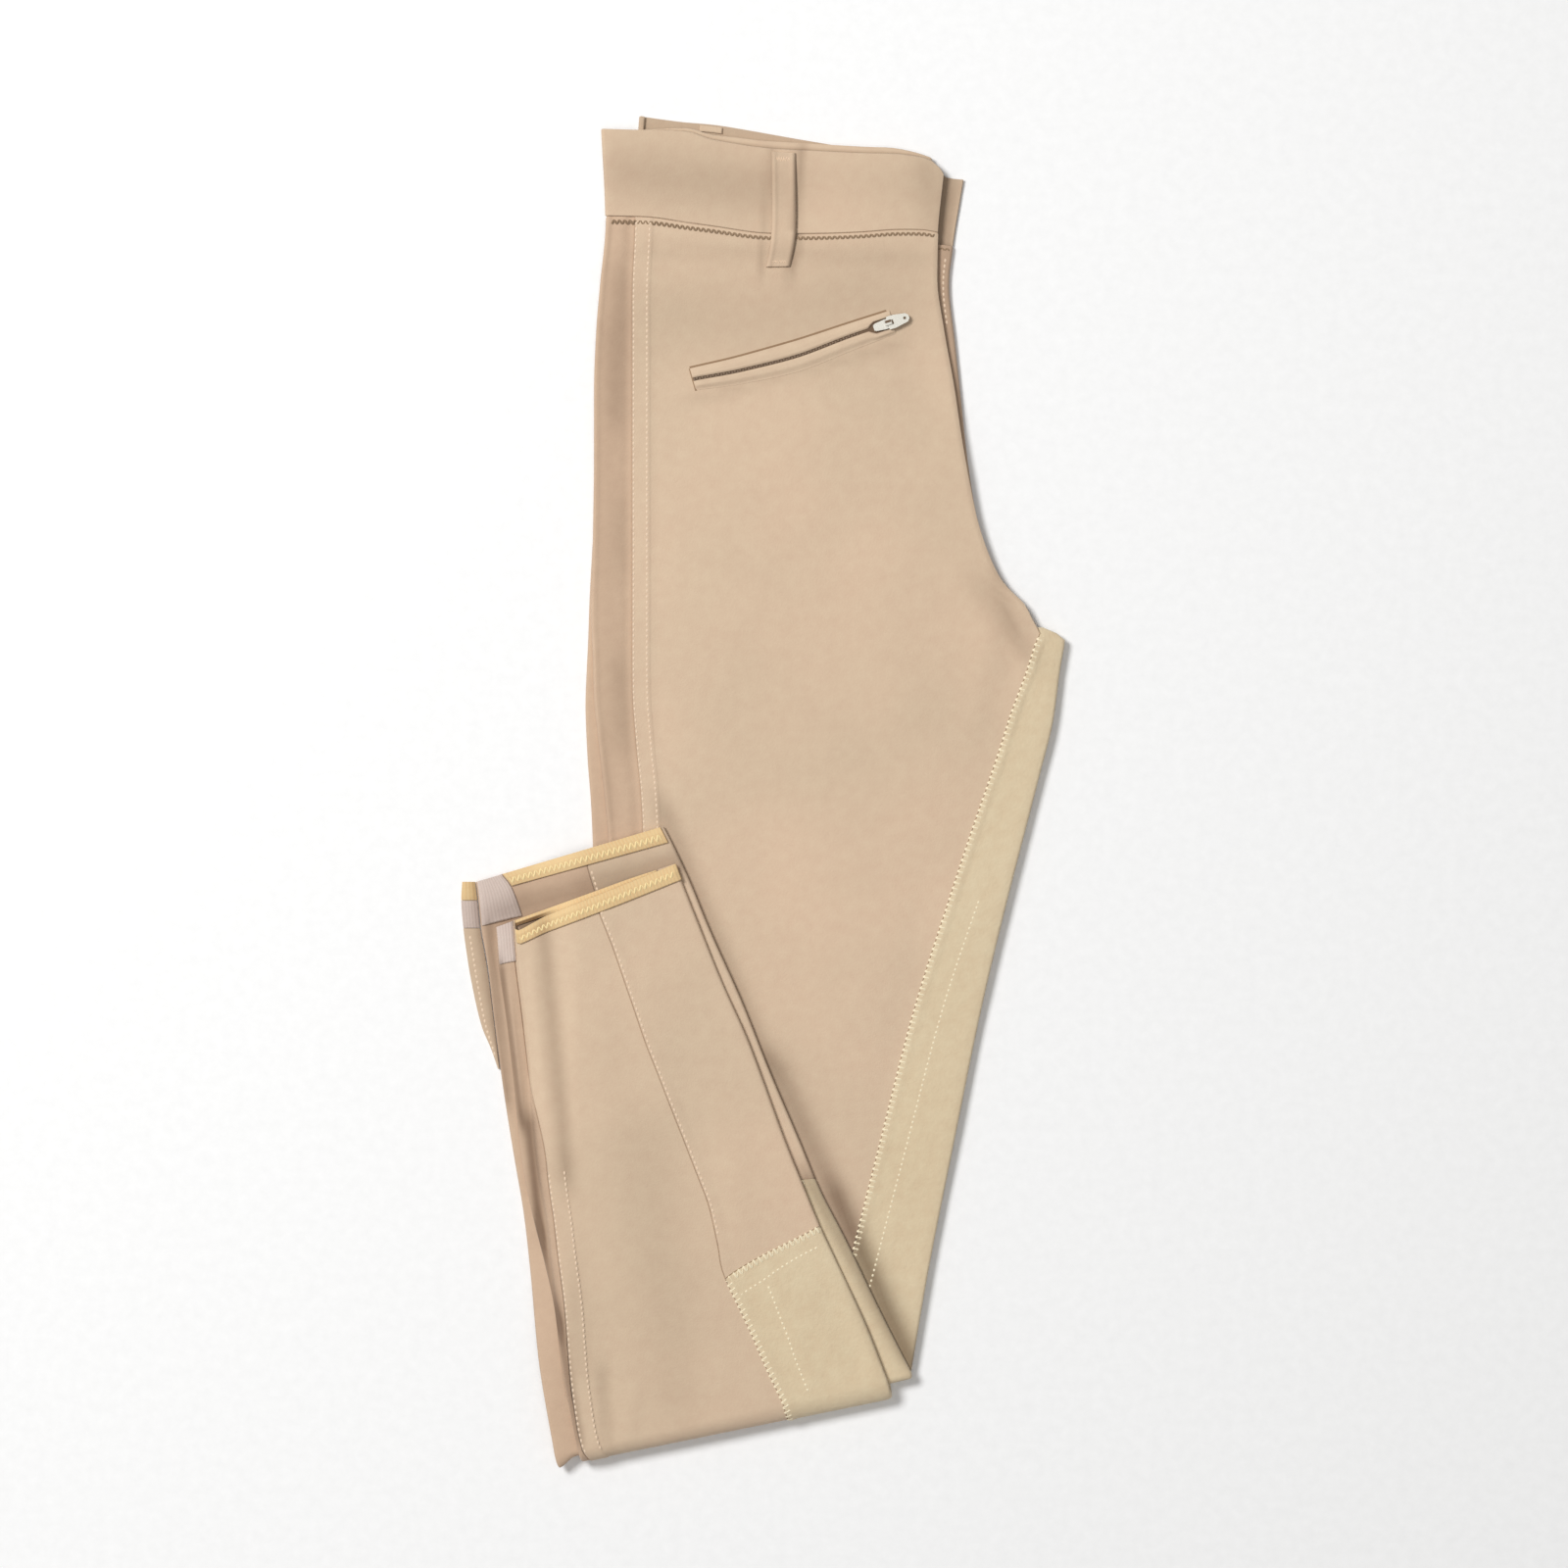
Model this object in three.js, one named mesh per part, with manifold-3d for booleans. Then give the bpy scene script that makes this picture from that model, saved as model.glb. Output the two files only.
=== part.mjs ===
// Riding leggings, pressed in half along the centre and then folded up at the knee.
// Millimetres. +X right, +Y towards the waist, +Z up from the surface they lie on.
import * as THREE from "three";
import Module from "manifold-3d";

const wasm = await Module();
wasm.setup();
const { Manifold } = wasm;

// Cloth
const wall = 1.2; // thickness of the cloth
const hollow = 0.9; // space left inside a pressed leg
const seam = 0.3; // between two pieces
const hairpin = 0.2; // half the space inside the knee fold
const legDepth = 2 * wall + hollow;
const bend = (legDepth - wall) / 2; // a pressed edge, to the middle of the cloth
const edge = bend + wall / 2; // a pressed edge, to its outer face
const foldHeight = hairpin + 2 * legDepth + seam; // of the knee fold's centre
const bandExtra = 0.4; // the waistband is this much thicker than the cloth

// Stations count along a leg: 0 waist, 1 waist seam, 10 crotch, 20 to 21 round the knee
// fold, then on to the hem.
const crotch = 9;
const foldStart = 20;
const foldEnd = 21;
const foldSteps = 8;
const hemNear = 31;
const hemFar = 32;

// Each row of a leg is a line across it, from its left edge to its right edge. side is the
// side seam, measured from the left, and inner the inner leg piece's seam, from the right.
const columns = ["station", "leftX", "leftY", "rightX", "rightY", "side", "inner"];
const nearThighRows = [
  [0, -85.8, 352.3, 96.2, 334.1, 16.3, 2.5],
  [1, -83.7, 306.0, 93.1, 297.2, 15.5, 2.5],
  [2, -86.8, 269.6, 92.6, 272.2, 17.2, 2.5],
  [3, -88.9, 243.6, 96.2, 245.7, 19.2, 2.5],
  [4, -90.0, 212.4, 101.4, 216.6, 20.3, 2.5],
  [5, -90.0, 176.0, 106.6, 182.3, 20.3, 2.5],
  [6, -90.5, 139.6, 115.4, 139.6, 20.8, 2.5],
  [7, -91.0, 113.6, 126.9, 112.6, 21.3, 2.5],
  [8, -91.5, 95.4, 138.8, 100.1, 21.8, 2.5],
  [9, -91.0, 82.4, 148.2, 88.1, 21.3, 3.0],
  [10, -90.5, 73.1, 160.2, 80.9, 20.8, 14.9],
  [11, -90.0, 53.3, 157.6, 64.7, 20.4, 17.7],
  [12, -87.4, 25.2, 153.9, 37.7, 19.7, 24.0],
  [13, -84.2, -3.4, 147.2, 10.7, 19.2, 26.2],
  [14, -82.2, -32.0, 140.9, -13.8, 18.3, 28.7],
  [15, -83.2, -78.8, 130.0, -55.9, 19.9, 32.2],
  [16, -87.4, -146.4, 116.5, -112.1, 20.8, 37.6],
  [17, -94.6, -224.4, 100.9, -188.0, 21.0, 41.9],
  [18, -103.0, -297.2, 87.4, -255.6, 21.3, 46.3],
  [20, -110.8, -351.3, 78.5, -307.6, 19.0, 51.8],
];
const nearShinRows = [
  [21, -110.8, -351.3, 78.5, -307.6, 19.0, 51.8],
  [22, -119.6, -299.3, 60.8, -272.7, 18.5, 53.6],
  [23, -123.8, -255.6, 43.2, -236.3, 18.0, 55.2],
  [24, -127.4, -224.4, 29.6, -209.8, 18.0, 57.0],
  [25, -133.1, -190.6, 18.7, -183.8, 18.0, 57.0],
  [26, -138.8, -154.2, 3.6, -148.5, 18.0, 56.0],
  [27, -143.5, -117.8, -11.4, -111.0, 18.0, 54.0],
  [28, -146.6, -91.8, -28.6, -72.5, 18.0, 51.0],
  [29, -150.3, -71.0, -40.6, -43.4, 18.0, 49.0],
  [30, -151.8, -55.4, -48.4, -26.8, 18.0, 46.5],
  [31, -152.9, -47.6, -53.0, -17.9, 18.0, 45.0],
];
const farThighRows = [
  [0, -66.0, 359.6, 106.6, 325.8, 19.5, 16.0],
  [1, -69.7, 313.8, 100.9, 290.4, 20.6, 16.0],
  [2, -76.4, 269.6, 98.8, 269.1, 20.8, 16.0],
  [3, -80.6, 238.4, 101.9, 239.5, 21.6, 16.0],
  [4, -84.2, 207.2, 105.0, 209.8, 21.8, 16.0],
  [5, -87.9, 170.8, 108.7, 176.0, 21.1, 16.0],
  [6, -91.0, 129.2, 116.5, 133.4, 21.2, 16.0],
  [7, -92.6, 98.0, 133.1, 102.2, 21.1, 16.0],
  [8, -93.1, 82.4, 142.0, 89.7, 20.8, 16.0],
  [10, -94.1, 61.6, 155.5, 76.2, 21.4, 16.4],
  [11, -94.6, 46.0, 153.4, 56.4, 21.4, 21.8],
  [12, -93.6, 20.0, 148.2, 25.2, 19.7, 28.1],
  [13, -91.5, -9.1, 140.4, -4.9, 16.9, 30.6],
  [14, -90.5, -37.2, 134.2, -30.9, 15.3, 32.8],
  [15, -90.0, -94.4, 120.1, -82.9, 13.4, 35.1],
  [16, -91.5, -167.2, 103.5, -151.6, 11.9, 37.5],
  [17, -94.1, -245.2, 87.4, -221.8, 9.3, 43.1],
  [18, -96.2, -307.6, 75.9, -279.0, 7.0, 51.2],
  [20, -98.3, -348.4, 66.6, -310.3, 5.7, 56.5],
];
const farShinRows = [
  [21, -98.3, -348.4, 65.5, -310.6, 5.7, 56.5],
  [22, -106.1, -312.8, 54.6, -282.6, 8.3, 58.8],
  [23, -110.8, -273.8, 38.0, -246.7, 9.9, 58.9],
  [24, -116.0, -250.4, 30.2, -230.1, 12.0, 55.1],
  [25, -122.7, -224.4, 20.3, -206.2, 15.0, 51.5],
  [26, -127.9, -198.4, 10.9, -182.8, 14.5, 51.5],
  [27, -131.0, -172.4, 0.5, -154.2, 11.0, 52.0],
  [28, -133.1, -151.6, -8.8, -129.7, 8.6, 51.9],
  [29, -136.8, -120.4, -21.8, -100.6, 8.8, 49.2],
  [30, -140.9, -91.8, -34.8, -68.4, 9.3, 47.0],
  [31, -142.0, -77.7, -43.7, -46.0, 9.3, 46.1],
  [32, -142.5, -72.5, -46.8, -37.7, 9.5, 44.5],
];

// How far the near waistband's top edge and seam, and the far one's top edge, rise above
// their straight rows, at a fraction of the way across.
const waistColumns = ["across", "nearTop", "nearSeam", "farTop"];
const waistRows = [
  [0, 0, 0, 0],
  [0.12, 1.5, 0.5, 1.2],
  [0.25, 3.0, -1.5, 3.4],
  [0.32, 0.2, -2.6, 3.8],
  [0.48, -1.5, -5.0, 4.3],
  [0.62, -0.4, -4.0, 5.0],
  [0.76, 0.9, -2.0, 6.0],
  [0.88, 2.4, 0.5, 7.0],
  [0.95, 1.6, 1.0, 2.5],
  [1, 0, 0, 0],
];

// The far shin's cloth steps down to a lower ledge left of this distance from its edge.
const ledgeColumns = ["station", "from"];
const ledgeRows = [[21, 2.1], [22, 3.0], [23, 2.8], [24, 5.1], [25, 8.7], [27, 10.0],
  [29, 11.4], [30, 12.0], [32, 12.2]];
const ledgeRun = 2.6;
const ledgeDrop = 2 * bend - 0.1;

// Lips: how far a pressed leg's cloth carries on under the other side.
const lip = 8;
const foldLip = 16;
const backSeamRows = [[9, 10], [17, 10], [20, 17.6], [22, 20], [24.2, 25], [25, 34], [26, 44],
  [28, 52], [30, 46.5], [31, 45]];
const knitWide = 14.5;
const patchEndNear = 24.2;
const patchEndFar = 23;
const flyWidth = 16;
const fullFrom = 21.05; // the near back piece covers the shin from here on
const fullAt = 21.35;

// The knee folds reach further out at the near leg's left end and the far leg's right end.
const nearReach = 4.3;
const nearReachRun = 11;
const farReach = 4.3;

// Left of this line the shins hang over the thighs' edge and drop to the surface.
const dropLines = [[-351, -115], [-240, -97], [100, -96]];
const dropRun = 30;
const dropSteps = 5;

// Soft rises of the lying cloth.

const riseRows = [
  [-10, 120, 75, 80, 1.7],
  [70, 60, 55, 70, 1.1],
  [40, 215, 60, 50, 0.9],
  [95, -60, 40, 80, 0.8],
  [-40, -240, 60, 75, 1.5],
  [-95, -120, 35, 70, 1.2],
  [10, 318, 110, 26, 0.5],
];

// Named columns for a table, with values between its rows.
function smoothTable(names, rows) {
  const at = rows.map((row) => row[0]);
  const slopes = names.map((_, c) => {
    const step = rows.slice(1).map((row, i) => (row[c] - rows[i][c]) / (at[i + 1] - at[i]));
    return rows.map((_, i) => {
      if (i === 0) return step[0];
      if (i === rows.length - 1) return step[i - 1];
      const [a, b] = [step[i - 1], step[i]];
      return a * b <= 0 ? 0 : (2 * a * b) / (a + b);
    });
  });
  return (station) => {
    const s = Math.min(Math.max(station, at[0]), at[at.length - 1]);
    let i = 0;
    while (i < at.length - 2 && s > at[i + 1]) i += 1;
    const span = at[i + 1] - at[i];
    const t = (s - at[i]) / span;
    const out = {};
    names.forEach((name, c) => {
      const [a, b] = [rows[i][c], rows[i + 1][c]];
      const rise = slopes[c][i] * span * t * (1 - t) ** 2 - slopes[c][i + 1] * span * t ** 2 * (1 - t);
      out[name] = a + (b - a) * t ** 2 * (3 - 2 * t) + rise;
    });
    return out;
  };
}
const { sin, cos, min, max, hypot, PI } = Math;
const mix = (a, b, t) => a + (b - a) * t;
const clamp01 = (t) => min(max(t, 0), 1);
const ease = (t) => clamp01(t) ** 2 * (3 - 2 * clamp01(t));
const spread = (a, b, steps) => Array.from({ length: steps + 1 }, (_, i) => mix(a, b, i / steps));
function between(rows, at) {
  const i = rows.findIndex((row) => row[0] > at);
  if (i < 0) return rows[rows.length - 1][1];
  if (i === 0) return rows[0][1];
  return mix(rows[i - 1][1], rows[i][1], (at - rows[i - 1][0]) / (rows[i][0] - rows[i - 1][0]));
}

const waistRise = smoothTable(waistColumns, waistRows);
const ledge = smoothTable(ledgeColumns, ledgeRows);
const backSeam = (s) => between(backSeamRows, s);

// face is -1 where a leg's front lies nearest the knee fold's centre, 1 where its back does.
function makeLeg(thighRows, shinRows, face, depth, far) {
  const thigh = smoothTable(columns, thighRows);
  const shin = smoothTable(columns, shinRows);
  const row = (s) => {
    if (s <= foldStart) return thigh(s);
    if (s >= foldEnd) return shin(s);
    const [a, b] = [thigh(foldStart), shin(foldEnd)];
    return Object.fromEntries(columns.map((name) => [name, mix(a[name], b[name], s - foldStart)]));
  };
  const width = (s) => {
    const r = row(s);
    return hypot(r.rightX - r.leftX, r.rightY - r.leftY);
  };
  return { row, width, face, depth, far };
}
const near = makeLeg(nearThighRows, nearShinRows, -1, hairpin + legDepth / 2, false);
const far = makeLeg(farThighRows, farShinRows, 1, hairpin + legDepth * 1.5 + seam, true);

const foldRow = near.row(foldStart);
const foldLength = near.width(foldStart);
const out = {
  x: (foldRow.rightY - foldRow.leftY) / foldLength,
  y: -(foldRow.rightX - foldRow.leftX) / foldLength,
};

function softRise(x, y) {
  return riseRows.reduce((sum, row) => {
    const [cx, cy, wide, long, high] = row;
    return sum + high * Math.exp(-(((x - cx) / wide) ** 2) - ((y - cy) / long) ** 2);
  }, 0);
}
const swell = (x, y) => 1 + softRise(x, y) / foldHeight;

// Where the point lies that is `across` from the leg's left edge and `depth` outwards from
// the knee fold's centre.
function place(leg, s, across, depth) {
  const row = leg.row(s);
  const f = across / leg.width(s);
  let x = mix(row.leftX, row.rightX, f);
  let y = mix(row.leftY, row.rightY, f);
  if (s < 3) {
    const rise = waistRise(clamp01(f));
    const seamRise = leg.far ? 0 : rise.nearSeam;
    y += s < 1 ? mix(leg.far ? rise.farTop : rise.nearTop, seamRise, s) : seamRise * (1 - (s - 1) / 2);
  }
  const turn = PI * clamp01(s - foldStart);
  const extra = leg.far
    ? farReach * clamp01(f) * clamp01((depth - wall) / (legDepth - wall))
    : nearReach * (1 - ease(across / nearReachRun)) * clamp01(depth / legDepth);
  x += out.x * (depth + extra) * sin(turn);
  y += out.y * (depth + extra) * sin(turn);
  let z = foldHeight - depth * cos(turn);
  if (s > foldEnd) {
    const beyond = between(dropLines, y) - x;
    z -= (foldHeight + hairpin) * ease(beyond / dropRun);
  }
  return new THREE.Vector3(x, y, z * swell(x, y));
}

// The middle of a leg's cloth at a distance round it: 0 at the left edge of the front, on
// to the right edge and back under it, and below 0 round the left edge.
function round(leg, s, girth) {
  const w = leg.width(s);
  const right = w - edge;
  let across = girth;
  let side = 0;
  let front = 1;
  if (girth < edge) {
    const turn = min((edge - girth) / bend, PI);
    [side, front] = [-sin(turn), cos(turn)];
    across = edge + bend * side + max(edge - girth - PI * bend, 0);
  } else if (girth > right) {
    const turn = min((girth - right) / bend, PI);
    [side, front] = [sin(turn), cos(turn)];
    across = right + bend * side - max(girth - right - PI * bend, 0);
  }
  let depth = leg.depth + leg.face * bend * front;
  if (leg.far && s > foldEnd && front === 1) {
    const fade = clamp01(s - foldEnd - 0.2);
    const from = ledge(s).from;
    depth -= ledgeDrop * fade * (1 - ease((across - from + ledgeRun) / ledgeRun));
  }
  return { across, depth, side, front: leg.face * front };
}
// Distances from a shin's left edge that follow the drop, so that layers bend together.
function dropAcross(leg, s, first) {
  const row = leg.row(s);
  const from = max(between(dropLines, row.leftY) - dropRun - row.leftX, first);
  return spread(from, from + dropRun, dropSteps);
}
const girthPoints = (leg, s, girths) => girths.map((g) => round(leg, s, g));
const onUnder = (leg, s, fromLeft) => 2 * edge - PI * bend - fromLeft;
const onUnderRight = (leg, s, fromRight) => leg.width(s) - 2 * edge + PI * bend + fromRight;

// A closed solid between two grids of points of the same size.
function solidBetween(upper, lower) {
  const rows = upper.length;
  const cols = upper[0].length;
  const count = rows * cols;
  const points = [...upper.flat(), ...lower.flat()];
  const index = [];
  const quad = (a, b, c, d) => index.push(a, b, c, a, c, d);
  for (let i = 0; i + 1 < rows; i += 1)
    for (let j = 0; j + 1 < cols; j += 1) {
      const a = i * cols + j;
      quad(a, a + 1, a + cols + 1, a + cols);
      quad(count + a, count + a + cols, count + a + cols + 1, count + a + 1);
    }
  for (let j = 0; j + 1 < cols; j += 1) {
    const a = (rows - 1) * cols + j;
    quad(j + 1, j, count + j, count + j + 1);
    quad(a, a + 1, count + a + 1, count + a);
  }
  for (let i = 0; i + 1 < rows; i += 1) {
    const a = i * cols;
    const b = a + cols - 1;
    quad(a, a + cols, count + a + cols, count + a);
    quad(b + cols, b, count + b, count + b + cols);
  }
  let volume = 0;
  for (let k = 0; k < index.length; k += 3) {
    const [a, b, c] = [points[index[k]], points[index[k + 1]], points[index[k + 2]]];
    volume += a.dot(new THREE.Vector3().crossVectors(b, c));
  }
  if (volume < 0) index.reverse();
  const geometry = new THREE.BufferGeometry();
  geometry.setAttribute("position", new THREE.Float32BufferAttribute(
    points.flatMap((p) => [p.x, p.y, p.z]), 3));
  geometry.setIndex(index);
  geometry.computeVertexNormals();
  return geometry;
}

const cloth = { cloth: 0xd2b99e, suede: 0xd5c6a5, tape: 0xe6c98a, knit: 0xd7c8c0, metal: 0xdedcd4 };
const root = new THREE.Group();
root.name = "riding_leggings";
function add(name, colour, geometry) {
  const material = new THREE.MeshStandardMaterial({ color: cloth[colour], roughness: 0.9 });
  material.side = THREE.FrontSide;
  material.metalness = colour === "metal" ? 1 : 0;
  const mesh = new THREE.Mesh(geometry, material);
  mesh.name = name;
  root.add(mesh);
  return mesh;
}

// A wall of cloth. stations are numbers, or functions of the fraction across for a slanting
// end; line(s) gives the middle points across at a station, and inner and outer how far its
// two faces lie from them.
function clothWall(name, colour, { leg, stations, line, inner = -wall / 2, outer = wall / 2 }) {
  const last = line(typeof stations[1] === "number" ? stations[1] : 1.5).length - 1;
  const grid = (side) => stations.map((station) => Array.from({ length: last + 1 }, (_, j) => {
    const s = typeof station === "number" ? station : station(j / last);
    const p = line(s)[j];
    const off = typeof side === "function" ? side(s) : side;
    return place(leg, s, p.across + p.side * off, p.depth + p.front * off);
  }));
  add(name, colour, solidBetween(grid(outer), grid(inner)));
}
const foldStations = spread(foldStart, foldEnd, foldSteps).slice(1);
const thighStations = [2, 3, 4, 5, 6, 7, 8, 9, 10, 11, 12, 13, 14, 15, 15.5, 16, 16.5, 17, 18, 19, 20];
const shinStations = (hem) => spread(foldEnd + 1, hem, hem - foldEnd - 1);
const startGap = 0.012;

// Waistband
const nearBand = { leg: near, inner: -wall / 2, outer: wall / 2 + bandExtra };
clothWall("waistband_front_near", "cloth", {
  ...nearBand,
  stations: [0, 0.33, 0.66, 1],
  line: (s) => girthPoints(near, s, [
    onUnder(near, s, lip), ...spread(edge - PI * bend, edge, 4), 20,
    ...spread(40, near.width(s) - 3, 7), near.width(s) - 0.6]),
});
const backTop = -0.09;
const farBandStart = 28; // clear of the far band's lip
const backTurn = (2 * wall + seam - wall) / 2; // its two layers meet at the centre back
clothWall("waistband_back", "cloth", {
  leg: near,
  stations: [backTop, 0.3, 0.66, 1],
  line: (s) => {
    const middle = hairpin + legDepth + seam / 2;
    const right = near.width(s) - 8;
    const turned = spread(0, PI, 4).map((a) => ({
      across: right + backTurn * sin(a), depth: middle - backTurn * cos(a),
      side: sin(a), front: -cos(a) }));
    const flat = (left, front) => spread(left, right - 12, 5).map((across) => ({
      across, depth: middle + front * backTurn, side: 0, front }));
    return [...flat(edge + lip + 1, -1), ...turned, ...flat(farBandStart, 1).reverse()];
  },
});
clothWall("waistband_front_far", "cloth", {
  leg: far,
  stations: [0, 0.33, 0.66, 1],
  line: (s) => girthPoints(far, s, [
    onUnder(far, s, 3), ...spread(edge - PI * bend, edge, 4), 20,
    ...spread(40, far.width(s) - edge, 7),
    ...spread(far.width(s) - edge, far.width(s) - edge + (PI / 2) * bend, 2).slice(1)]),
});

// Belt loops
const loopWidth = 13;
const loopEnd = 1.6;
const [loopFrom, loopTo] = [90.4, 86.6]; // from the near leg's left edge
clothWall("belt_loop_near", "cloth", {
  leg: near,
  stations: [0.04, 0.2, 0.5, 0.85, 1, 1.15, 1.4, loopEnd],
  line: (s) => {
    const left = mix(loopFrom, loopTo, s / loopEnd);
    return girthPoints(near, s, [0, 1, loopWidth / 2, loopWidth - 1, loopWidth].map((w) => left + w));
  },
  inner: (s) => wall / 2 + seam + bandExtra * (1 - ease((s - 1) / 0.15)),
  outer: (s) => wall / 2 + seam + 1.1 + bandExtra * (1 - ease((s - 1) / 0.15)),
});

// Near leg
const nearFrontEdge = (s) => near.width(s)
  - (s < crotch ? mix(edge - 1.5, near.row(s).inner + seam / 2, clamp01(s - crotch + 1))
    : near.row(s).inner + seam / 2);
clothWall("front_panel_near", "cloth", {
  leg: near,
  stations: [1 + startGap, 1.5, ...thighStations, ...foldStations, ...shinStations(hemNear)],
  line: (s) => {
    const [left, right] = [near.row(s).side + seam / 2, nearFrontEdge(s)];
    const drop = dropAcross(near, s, left + 3);
    return girthPoints(near, s, [left, ...drop, ...spread(drop[dropSteps], right - 3, 5).slice(1),
      right - 1.5, right - 0.7, right]);
  },
});
function nearBackAcross(s) {
  const part = spread(edge, edge + mix(lip, foldLip, clamp01((s - 17) / 2)), dropSteps + 4);
  const end = near.width(s) - backSeam(s) - seam;
  const drop = dropAcross(near, s, edge + 2);
  const full = [edge, ...drop, ...spread(drop[dropSteps], end, 3).slice(1)];
  return part.map((a, k) => mix(a, full[k], clamp01((s - fullFrom) / (fullAt - fullFrom))));
}
clothWall("back_panel_near", "cloth", {
  leg: near,
  stations: [1 + startGap, 1.5, ...thighStations, ...foldStations, fullFrom, fullAt, 21.7,
    ...shinStations(hemNear)],
  line: (s) => {
    const side = near.row(s).side - seam / 2;
    return girthPoints(near, s, [side, (side + edge) / 2, ...spread(edge, edge - PI * bend, 4),
      ...nearBackAcross(s).slice(1).map((a) => onUnder(near, s, a))]);
  },
});
const innerLine = (s) => {
  const w = near.width(s);
  return girthPoints(near, s, [
    ...spread(w - near.row(s).inner + seam / 2, w - edge, 3),
    ...spread(w - edge, w - edge + PI * bend, 4).slice(1),
    ...spread(edge, backSeam(s), 3).slice(1).map((a) => onUnderRight(near, s, a))]);
};
clothWall("thigh_patch_near", "suede", {
  leg: near,
  stations: [crotch + 0.05, 9.5, 10, 11, 12, 13, 14, 15, 15.5, 16, 16.5, 17, 18, 19, 20,
    ...foldStations, 22, 23, patchEndNear],
  line: innerLine,
});
clothWall("shin_panel_near", "cloth", {
  leg: near,
  stations: [patchEndNear + startGap, 25, 26, 27, 28, 29, 30, hemNear],
  line: innerLine,
});

// Far leg, lying on the surface, then round the fold to the top of the stack
clothWall("front_panel_far", "cloth", {
  leg: far,
  stations: [1 + startGap, 1.5, ...thighStations, ...foldStations, 21.5, ...shinStations(hemFar)],
  line: (s) => {
    const left = far.row(s).side + seam / 2;
    const right = far.width(s) - far.row(s).inner - seam / 2;
    const from = s > foldEnd ? max(ledge(s).from, left + 1.2) : left + 3;
    const drop = dropAcross(far, s, from + 2);
    return girthPoints(far, s, [left, mix(left, from, 0.5), from, ...drop,
      ...spread(drop[dropSteps], right, 4).slice(1)]);
  },
});
clothWall("fly_far", "cloth", {
  leg: far,
  stations: [1 + startGap, 1.5, 2, 3, 4, 5, 6, 7, 8, crotch - 0.03],
  line: (s) => {
    const w = far.width(s);
    return girthPoints(far, s, [w - flyWidth + seam / 2, w - flyWidth / 2,
      ...spread(w - edge, w - edge + PI * bend, 4), onUnderRight(far, s, edge + lip)]);
  },
});
const farInnerLine = (under) => (s) => {
  const w = far.width(s);
  return girthPoints(far, s, [
    ...spread(w - far.row(s).inner + seam / 2, w - edge, 4),
    ...spread(w - edge, w - edge + PI * bend, 4).slice(1),
    ...spread(edge, edge + under, 2).slice(1).map((a) => onUnderRight(far, s, a))]);
};
const patchSlant = (shift) => (f) => patchEndFar + shift + clamp01(f / 0.4);
clothWall("thigh_patch_far", "suede", {
  leg: far,
  stations: [crotch, 9.5, 10, 11, 12, 13, 14, 15, 15.5, 16, 16.5, 17, 18, 19, 20,
    ...foldStations, 22, 22.6, patchSlant(0)],
  line: farInnerLine(lip),
});
clothWall("shin_panel_far", "cloth", {
  leg: far,
  stations: [patchSlant(startGap), 24.5, 25, 26, 27, 28, 29, 30, 31, hemFar],
  line: farInnerLine(lip),
});
// The left edge is pressed round as far as the fold, and opens out to a flat ledge after it.
clothWall("back_panel_far", "cloth", {
  leg: far,
  stations: [1 + startGap, 1.5, ...thighStations, ...foldStations, 21.2, 21.6, ...shinStations(hemFar)],
  line: (s) => {
    const side = far.row(s).side - seam / 2;
    const curled = [side, mix(side, edge, 0.33), mix(side, edge, 0.67),
      ...spread(edge, edge - PI * bend, 4), onUnder(far, s, edge + lip / 2),
      onUnder(far, s, edge + lip)];
    const open = clamp01((s - foldEnd) / 1);
    const shortLip = edge + lip * (1 - open) ** 2;
    curled[8] = onUnder(far, s, (edge + shortLip) / 2);
    curled[9] = onUnder(far, s, shortLip);
    const flat = spread(side, 0.1, 9);
    const a = girthPoints(far, s, curled);
    if (open === 0) return a;
    const fromEdge = ledge(s).from;
    return a.map((p, k) => {
      const across = flat[k];
      const down = 1 - ease((across - fromEdge + ledgeRun) / ledgeRun);
      const depth = far.depth + bend - ledgeDrop * down;
      return {
        across: mix(p.across, across, open), depth: mix(p.depth, depth, open),
        side: mix(p.side, 0, open), front: mix(p.front, 1, open) };
    });
  },
});

// The layers inside the stack, as one rounded solid: between the thighs, round the fold
// and under the far shin.
const insetColumns = ["station", "left"];
const insetRows = [[1, 10.6], [5, 10.6], [8, 12.2], [10, 14.4], [12, 17], [14, 19], [15, 17.7],
  [16, 13.7], [17, 10.8], [20, 10.6]];
const inset = smoothTable(insetColumns, insetRows);
const rightInset = edge + lip + 1;
const coreRound = [0.45, 0.85, 1];
const coreEnd = 31.3;
const coreStations = [(f) => 1.5 - 0.3 * f, (f) => 1.6 - 0.3 * f, ...thighStations, ...foldStations,
  foldEnd + 0.001, ...spread(22, 31, 9), coreEnd - 0.05, coreEnd];
function coreAcross(s) {
  const left = s < foldEnd ? inset(s).left : max(ledge(s).from + 1.2, 10.6);
  const right = far.width(s) - rightInset;
  const drop = dropAcross(far, s, left + 2.5);
  return [left, left + 1, ...drop, ...spread(drop[dropSteps], right - 1, 4).slice(1), right];
}
function coreFace(upper) {
  const rows = coreStations.length;
  return coreStations.map((station, i) => Array.from({ length: dropSteps + 8 }, (_, j) => {
    const s = typeof station === "number" ? station : station(j / (dropSteps + 7));
    const ring = min(i, rows - 1 - i, j, dropSteps + 7 - j, 2);
    const under = s > foldEnd ? hairpin + legDepth + seam : hairpin + wall + seam;
    const over = foldHeight - wall - seam;
    const [middle, half] = [(under + over) / 2, ((over - under) / 2) * coreRound[ring]];
    return place(far, s, coreAcross(s)[j], middle + (upper ? half : -half));
  }));
}
add("inner_layers", "cloth", solidBetween(coreFace(true), coreFace(false)));

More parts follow.
